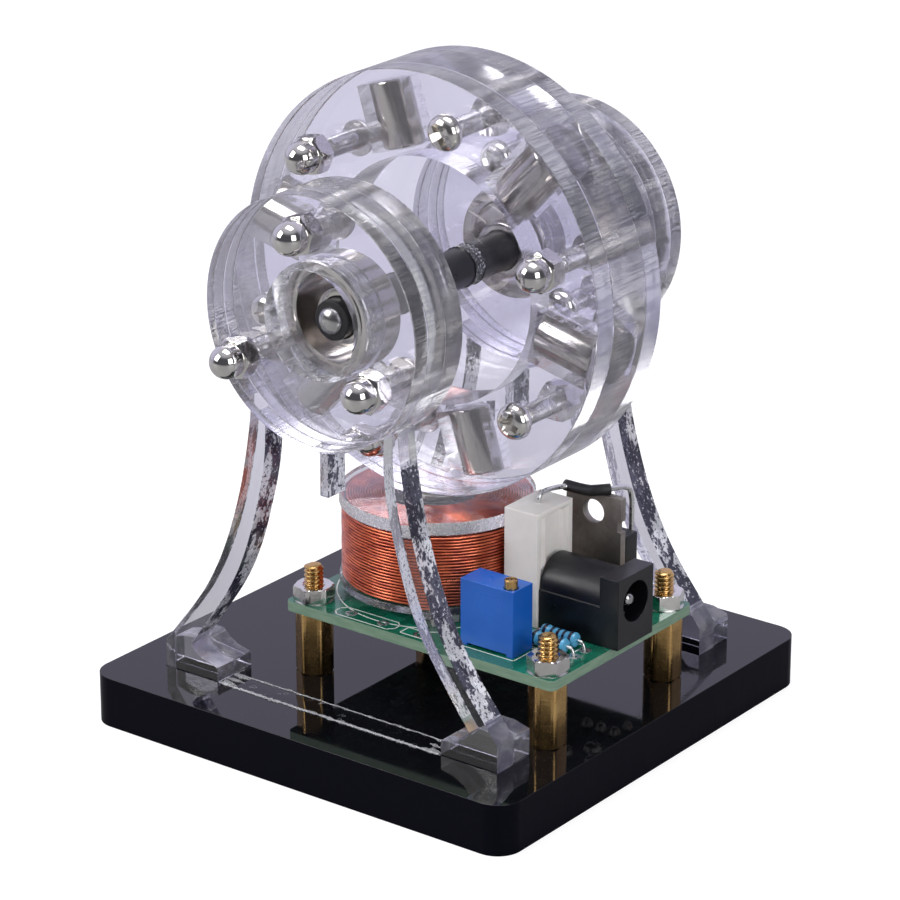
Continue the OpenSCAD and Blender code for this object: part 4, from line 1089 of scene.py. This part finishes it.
coil_low, coil_high = (corner.z for corner in box_mm("coil_winding"))
first, last = coil_low + WIRE_R, coil_high - WIRE_R
put_wire("coil_layer_outer", "coil_outer_turns", None, (COIL_R, COIL_R), (first, last), 23, 8, 0.22)
put_wire("coil_layer_top", "coil_winding", (), (5.9, COIL_R - 0.45), (last, last), 20, 6, 0.12)
# A solid ring under the turns in painted shade, nearly black, that shows in the gaps between them
bm = flat_ring(COIL_INNER_R, COIL_R - 0.18, coil_low + 0.02, coil_high - 0.3, 96)
bm.transform(placed(0, COIL_Y, 0))
put("coil_layers_below", mesh_of(bm), [WIRE_PAINTED_SHADE], "coil_winding")
put_flange()
put_bobbin()
eased("coil_core", 0.3, 2)


# Board

# Middles of the pads in the two unfilled places at the board's front edge
UNFILLED_PADS = [(-4.4, -18.4), (1.6, -18.4), (8.4, -18.5)]
PIN_PITCH = 2.54
PAD_TALL, PRINT_TALL = 0.04, 0.03


def line_loop(points):
    """A closed printed line on the board through these corners."""
    wide = 0.16
    corners = [Vector((*p, 0)) for p in points]
    parts = []
    for a, b in zip(corners, corners[1:] + corners[:1]):
        along = (b - a).normalized() * wide / 2
        across = Vector((-along.y, along.x, 0))
        foot = [a - along - across, b + along - across, b + along + across, a - along + across]
        parts.append(grid([foot, [p + Vector((0, 0, PRINT_TALL)) for p in foot]]))
    return parts


def line_box(x0, y0, x1, y1, clip=0.0):
    """A printed frame, with clipped corners where the clip isn't zero."""
    if not clip:
        return line_loop([(x0, y0), (x1, y0), (x1, y1), (x0, y1)])
    return line_loop([
        (x0 + clip, y0), (x1 - clip, y0), (x1, y0 + clip), (x1, y1 - clip),
        (x1 - clip, y1), (x0 + clip, y1), (x0, y1 - clip), (x0, y0 + clip)])


def put_print(name, bm):
    bm.transform(placed(0, 0, BOARD_TOP))
    put(name, mesh_of(bm), [PRINT], "circuit_board", ())


put_faced("circuit_board_masked", welded("circuit_board"), 0.08, [MASK, CLOTH_EDGE],
          by_slope(MASK, CLOTH_EDGE, 0.9), "circuit_board", sharp=22, weighted=False)
trim_low, trim_high = box_mm("trimmer_body")
trim_mid = (trim_low + trim_high) / 2
film_low, film_high = box_mm("film_leads")
FILM_LEAD_R = 0.25
film_xs = (film_low.x + FILM_LEAD_R, film_high.x - FILM_LEAD_R)
film_ys = (film_low.y + FILM_LEAD_R, film_high.y - FILM_LEAD_R)

pads = [(trim_mid.x + i * PIN_PITCH, trim_mid.y) for i in (-1, 0, 1)]
pads += [(x, y) for x in film_xs for y in film_ys] + UNFILLED_PADS
set_of("board_pads", loose("pad", flat_ring(0.42, 0.95, 0, PAD_TALL, 32)), upright(pads, BOARD_TOP), TINNED,
       "circuit_board", ())
set_of("board_corner_pads", loose("corner_pad", flat_ring(1.7, 3.0, 0, PAD_TALL, 48)),
       upright(standoff_places, BOARD_TOP), TINNED, "circuit_board", ())

# Outlines of the two unfilled places, of the trimmer and of the small resistors
outlines = line_box(-7, -19.9, 4.2, -16.9, 0.9) + line_box(5.6, -19.6, 11.2, -17.4)
outlines += line_box(trim_low.x - 0.5, trim_low.y - 0.5, trim_high.x + 0.5, trim_high.y + 0.5)
outlines += line_box(film_xs[0] + 0.9, film_ys[0] - 1.35, film_xs[1] - 0.9, film_ys[1] + 1.35)
put_print("board_print_lines", joined(*outlines))

# The circle round the coil, open at the board's edge
circle = flat_ring(15.15, 15.35, 0, PRINT_TALL, 128)
circle.transform(placed(0, COIL_Y, 0))
bmesh.ops.delete(circle, geom=[v for v in circle.verts if v.co.x <= -15.3 * MM], context="VERTS")
bmesh.ops.holes_fill(circle, edges=[e for e in circle.edges if e.is_boundary], sides=0)
put_print("board_print_circle", circle)


# Components

def put_trimmer_screw():
    """A small turned brass head with a driver slot."""
    lo, hi = box_mm("trimmer_screw")
    middle = (lo + hi) / 2
    r, tall, slot_half, slot_deep = (hi.x - lo.x) / 2, hi.z - lo.z, 0.2, 0.6
    head = lathe([(0.01, 0), (r - 0.06, 0), (r, 0.06), (r, tall - 0.16), (r - 0.14, tall), (0.01, tall)], 40)
    corners = ((-2, -slot_half), (2, -slot_half), (2, slot_half), (-2, slot_half))
    slot = grid([[(x, y, z) for x, y in corners] for z in (tall - slot_deep, tall + 1)])
    mesh = carved(loose("head", head), [loose("slot", slot)])
    mesh.transform(placed(middle.x, middle.y, lo.z, 35))
    put("trimmer_screw_slotted", mesh, [BRASS], "trimmer_screw", sharp=35)


def put_ceramic():
    """A ceramic trough, its filled side towards +X: pale ribs at both ends and a sunk panel between."""
    lo, hi = box_mm("ceramic_resistor")
    # Distance along the side and depth below it
    ribs = ((0, 0), (1.0, 0), (1.25, 0.4), (1.75, 0.4), (2.0, 0.06), (2.5, 0.06), (2.8, 0.75), (6.6, 0.75),
            (6.9, 0.3), (7.7, 0.3), (7.95, 0), (9.0, 0))
    rows = []
    # The filled side ends below the trough's top
    for z, share in ((lo.z, 1), (hi.z - 1.1, 1), (hi.z - 0.75, 0), (hi.z, 0)):
        side = [(hi.x - depth * share, lo.y + along, z) for along, depth in ribs]
        rows.append([(lo.x, hi.y, z), (lo.x, lo.y, z), *side])
    bm = grid(rows)
    bmesh.ops.recalc_face_normals(bm, faces=bm.faces)
    break_edges(bm, 0.12, 2, 35)
    put("ceramic_resistor_fired", mesh_of(bm), [CERAMIC], "ceramic_resistor", sharp=60, weighted=True)


def tube(points, radius, sides=16):
    """A round tube along a smoothed line of points in millimetres."""
    line = [Vector(p) for p in points]
    for _ in range(2):
        cut = [line[0]]
        for a, b in zip(line, line[1:]):
            reach = min(0.3, 1.2 / max((b - a).length, 0.01))
            cut += [a.lerp(b, reach), a.lerp(b, 1 - reach)]
        line = cut + [line[-1]]
    section = [polar(radius, 360 * k / sides) for k in range(sides)]
    rows, side = [], None
    for i, p in enumerate(line):
        way = (line[min(i + 1, len(line) - 1)] - line[max(i - 1, 0)]).normalized()
        side = side or way.orthogonal().normalized()
        side = (side - way * side.dot(way)).normalized()
        across = way.cross(side)
        rows.append([p + u * side + v * across for u, v in section])
    return grid(rows)


eased("trimmer_body", 0.22, 3, 50)
put_trimmer_screw()
eased("trimmer_pins", 0.06)
eased("jack_body", 0.35, 3, 50)
eased("jack_pin", 0.05, material=TIP)
eased("jack_spring", 0.04)
eased("jack_tags", 0.06)
put_ceramic()
eased("transistor_tab", 0.14, 2, 50)
eased("transistor_body", 0.25, 2, 50)
eased("transistor_leads", 0.06)
eased("solder_joints", 0.05)

# The ceramic resistor's lead leaves its top, bends over to the tab and drops to the board
LEAD_R, SLEEVE_R = 0.4, 0.85
ceramic_x, ceramic_y, drop_x, drop_y = 17.9, -1.9, 25.4, 11.5
ceramic_top = box_mm("ceramic_resistor")[1].z
sleeved = [(ceramic_x, 4.9, 38.225), (21.9, 4.9, 38.225), (23.6, 4.9, 38.7), (24.9, 6.45, 38.7)]
lead = [(ceramic_x, ceramic_y, ceramic_top - 0.5), (ceramic_x, ceramic_y, ceramic_top + 1.6), *sleeved,
        (drop_x, drop_y, 37.9), (drop_x, drop_y, PIN_END)]
stub = [(ceramic_x, ceramic_y, PIN_END), (ceramic_x, ceramic_y, 19.8)]
leads = joined(tube(lead, LEAD_R), tube(stub, LEAD_R))
put("ceramic_leads_bent", mesh_of(leads), [TINNED], "ceramic_leads", sharp=60)
put("lead_sleeve_bent", mesh_of(tube(sleeved, SLEEVE_R, 24)), [SLEEVE], "lead_sleeve", sharp=50)

# The small resistors lie along X, thicker at both ends
FILM_LENGTH, FILM_Z = 6.2, 20.8
film_x = box_mm("film_resistors")[0].x
film_end = [(0.3, 0.0), (0.75, 0.03), (1.02, 0.14), (1.13, 0.35), (1.15, 0.65), (1.13, 1.1), (1.02, 1.4),
            (0.98, 1.7)]
film_body = loose("film_body", lathe(mirrored(film_end, FILM_LENGTH), 40))
film_places = [((film_x, y, FILM_Z), (0, 90, 0)) for y in film_ys]
set_of("film_resistors_lacquered", film_body, film_places, FILM, "film_resistors")
film_wires = []
for y in film_ys:
    for x, body_x in zip(film_xs, (film_x + 0.2, film_x + FILM_LENGTH - 0.2)):
        film_wires.append(tube([(x, y, PIN_END), (x, y, FILM_Z), (body_x, y, FILM_Z)], FILM_LEAD_R, 12))
put("film_leads_bent", mesh_of(joined(*film_wires)), [TINNED], "film_leads", sharp=60)

# The thrust pad stays the CAD's own mesh
nodes["thrust_pad"].data.materials.clear()
nodes["thrust_pad"].data.materials.append(PAD)


# Studio

# Level direction from the camera past the object
BEHIND = (-0.6025, 0.798, 0.0)
# Name, place, size, power and colour of each soft lamp, and the point in metres that all are aimed at
LAMPS = (
    ("key_left", (-0.45, -0.6, 0.5), (0.42, 0.5), 4.2, (1, 0.99, 0.97)),
    ("fill_right", (0.75, -0.3, 0.36), (0.42, 0.5), 2.8, (0.97, 0.98, 1)),
    ("top_soft", (0.0, 0.0, 0.85), (0.5, 0.35), 3.8, (1, 1, 1)),
)
LAMP_AIM = Vector((0, 0, 0.05))
# The camera fitted to the photograph: angles in degrees, millimetres, and the photograph's own pixels
AZIMUTH, ELEVATION, ROLL = 37.051, 21.003, 0.038
DISTANCE, SHIFT_RIGHT, SHIFT_UP = 586.524, 0.081, 30.901
FOCAL_PIXELS, PHOTO_PIXELS = 3827.34, 900
SENSOR = 36


def put_floor():
    """A pale floor that looks white to the camera and glows behind the object in metal and glass."""
    half = 6.0
    corners = [(-half, -half, 0), (half, -half, 0), (half, half, 0), (-half, half, 0)]
    floor = bpy.data.meshes.new("floor")
    floor.from_pydata(corners, [], [(0, 1, 2, 3)])
    plane = bpy.data.objects.new("floor", floor)
    scene.collection.objects.link(plane)
    f = Finish("pale_floor", (0.32, 0.32, 0.325), 0.6)
    path = f.add("ShaderNodeLightPath").outputs
    seen = f.math("MAXIMUM", f.times(path["Is Glossy Ray"], 0.5), path["Is Transmission Ray"])
    mirrored_glow = f.times(f.times(seen, f.remap(f.dot(f.place, BEHIND), -0.02, 0.2)), 0.5)
    strength = f.math("MAXIMUM", f.times(path["Is Camera Ray"], 0.78), mirrored_glow)
    color = f.blend(path["Is Camera Ray"], (0.82, 0.79, 1), (1, 1, 1))
    glow = f.add("ShaderNodeEmission", {"Color": color, "Strength": strength}).outputs[0]
    both = f.add("ShaderNodeAddShader", {0: f.shader.outputs[0], 1: glow}).outputs[0]
    f.set(f.output, {"Surface": both})
    floor.materials.append(f.material)


def light_room():
    """White to the camera. In metal and glass it is a pale backdrop behind the object, a dim room before it
    and a soft ceiling."""
    world = bpy.data.worlds.new("studio")
    scene.world = world
    world.use_nodes = True
    w = Nodes(world.node_tree)
    way = w.add("ShaderNodeTexCoord").outputs["Generated"]
    height = w.add("ShaderNodeSeparateXYZ", {0: way}).outputs["Z"]
    backdrop = w.remap(w.dot(way, BEHIND), -0.3, 0.45, interpolation_type="SMOOTHSTEP")
    ceiling = w.remap(height, 0.55, 0.95, interpolation_type="SMOOTHSTEP")
    room = w.blend(backdrop, (0.09, 0.09, 0.105), (0.7, 0.68, 0.88))
    seen = w.blend(ceiling, room, (0.62, 0.62, 0.68))
    path = w.add("ShaderNodeLightPath").outputs
    in_mirror = w.math("MAXIMUM", path["Is Glossy Ray"], path["Is Transmission Ray"])
    mixed = w.blend(in_mirror, (0.3, 0.305, 0.32), seen)
    final = w.blend(path["Is Camera Ray"], mixed, (1, 1, 1))
    w.set(w.tree.nodes["Background"], {"Color": final})


def put_lamps():
    for name, place, size, power, color in LAMPS:
        lamp = bpy.data.lights.new(name, "AREA")
        lamp.shape = "RECTANGLE"
        lamp.size, lamp.size_y = size
        lamp.energy = power
        lamp.color = color
        holder = bpy.data.objects.new(name, lamp)
        scene.collection.objects.link(holder)
        holder.location = place
        holder.rotation_euler = (LAMP_AIM - Vector(place)).to_track_quat("-Z", "Y").to_euler()


def photo_camera():
    """The photograph's own view, fitted to the object's known points."""
    azimuth, elevation, roll = (math.radians(a) for a in (AZIMUTH, ELEVATION, ROLL))
    level = Vector((math.sin(azimuth), -math.cos(azimuth), 0)) * math.cos(elevation)
    back = level + Vector((0, 0, math.sin(elevation)))
    right = Vector((math.cos(azimuth), math.sin(azimuth), 0))
    up = back.cross(right)
    side = right * math.cos(roll) + up * math.sin(roll)
    top = up * math.cos(roll) - right * math.sin(roll)
    camera = bpy.data.cameras.new("photo_view")
    camera.sensor_width = SENSOR
    camera.lens = FOCAL_PIXELS / PHOTO_PIXELS * SENSOR
    camera.clip_start = 0.01
    camera.clip_end = 50
    holder = bpy.data.objects.new("photo_view", camera)
    scene.collection.objects.link(holder)
    turned = Matrix((side, top, back)).transposed().to_4x4()
    aim = Vector((0, 0, BASE_TOP))
    turned.translation = (aim + side * SHIFT_RIGHT + top * SHIFT_UP + back * DISTANCE) * MM
    holder.matrix_world = turned
    scene.camera = holder


put_floor()
light_room()
put_lamps()
photo_camera()
scene.view_settings.view_transform = "Standard"
for kind in ("max_bounces", "transmission_bounces", "glossy_bounces", "transparent_max_bounces"):
    setattr(scene.cycles, kind, 32)
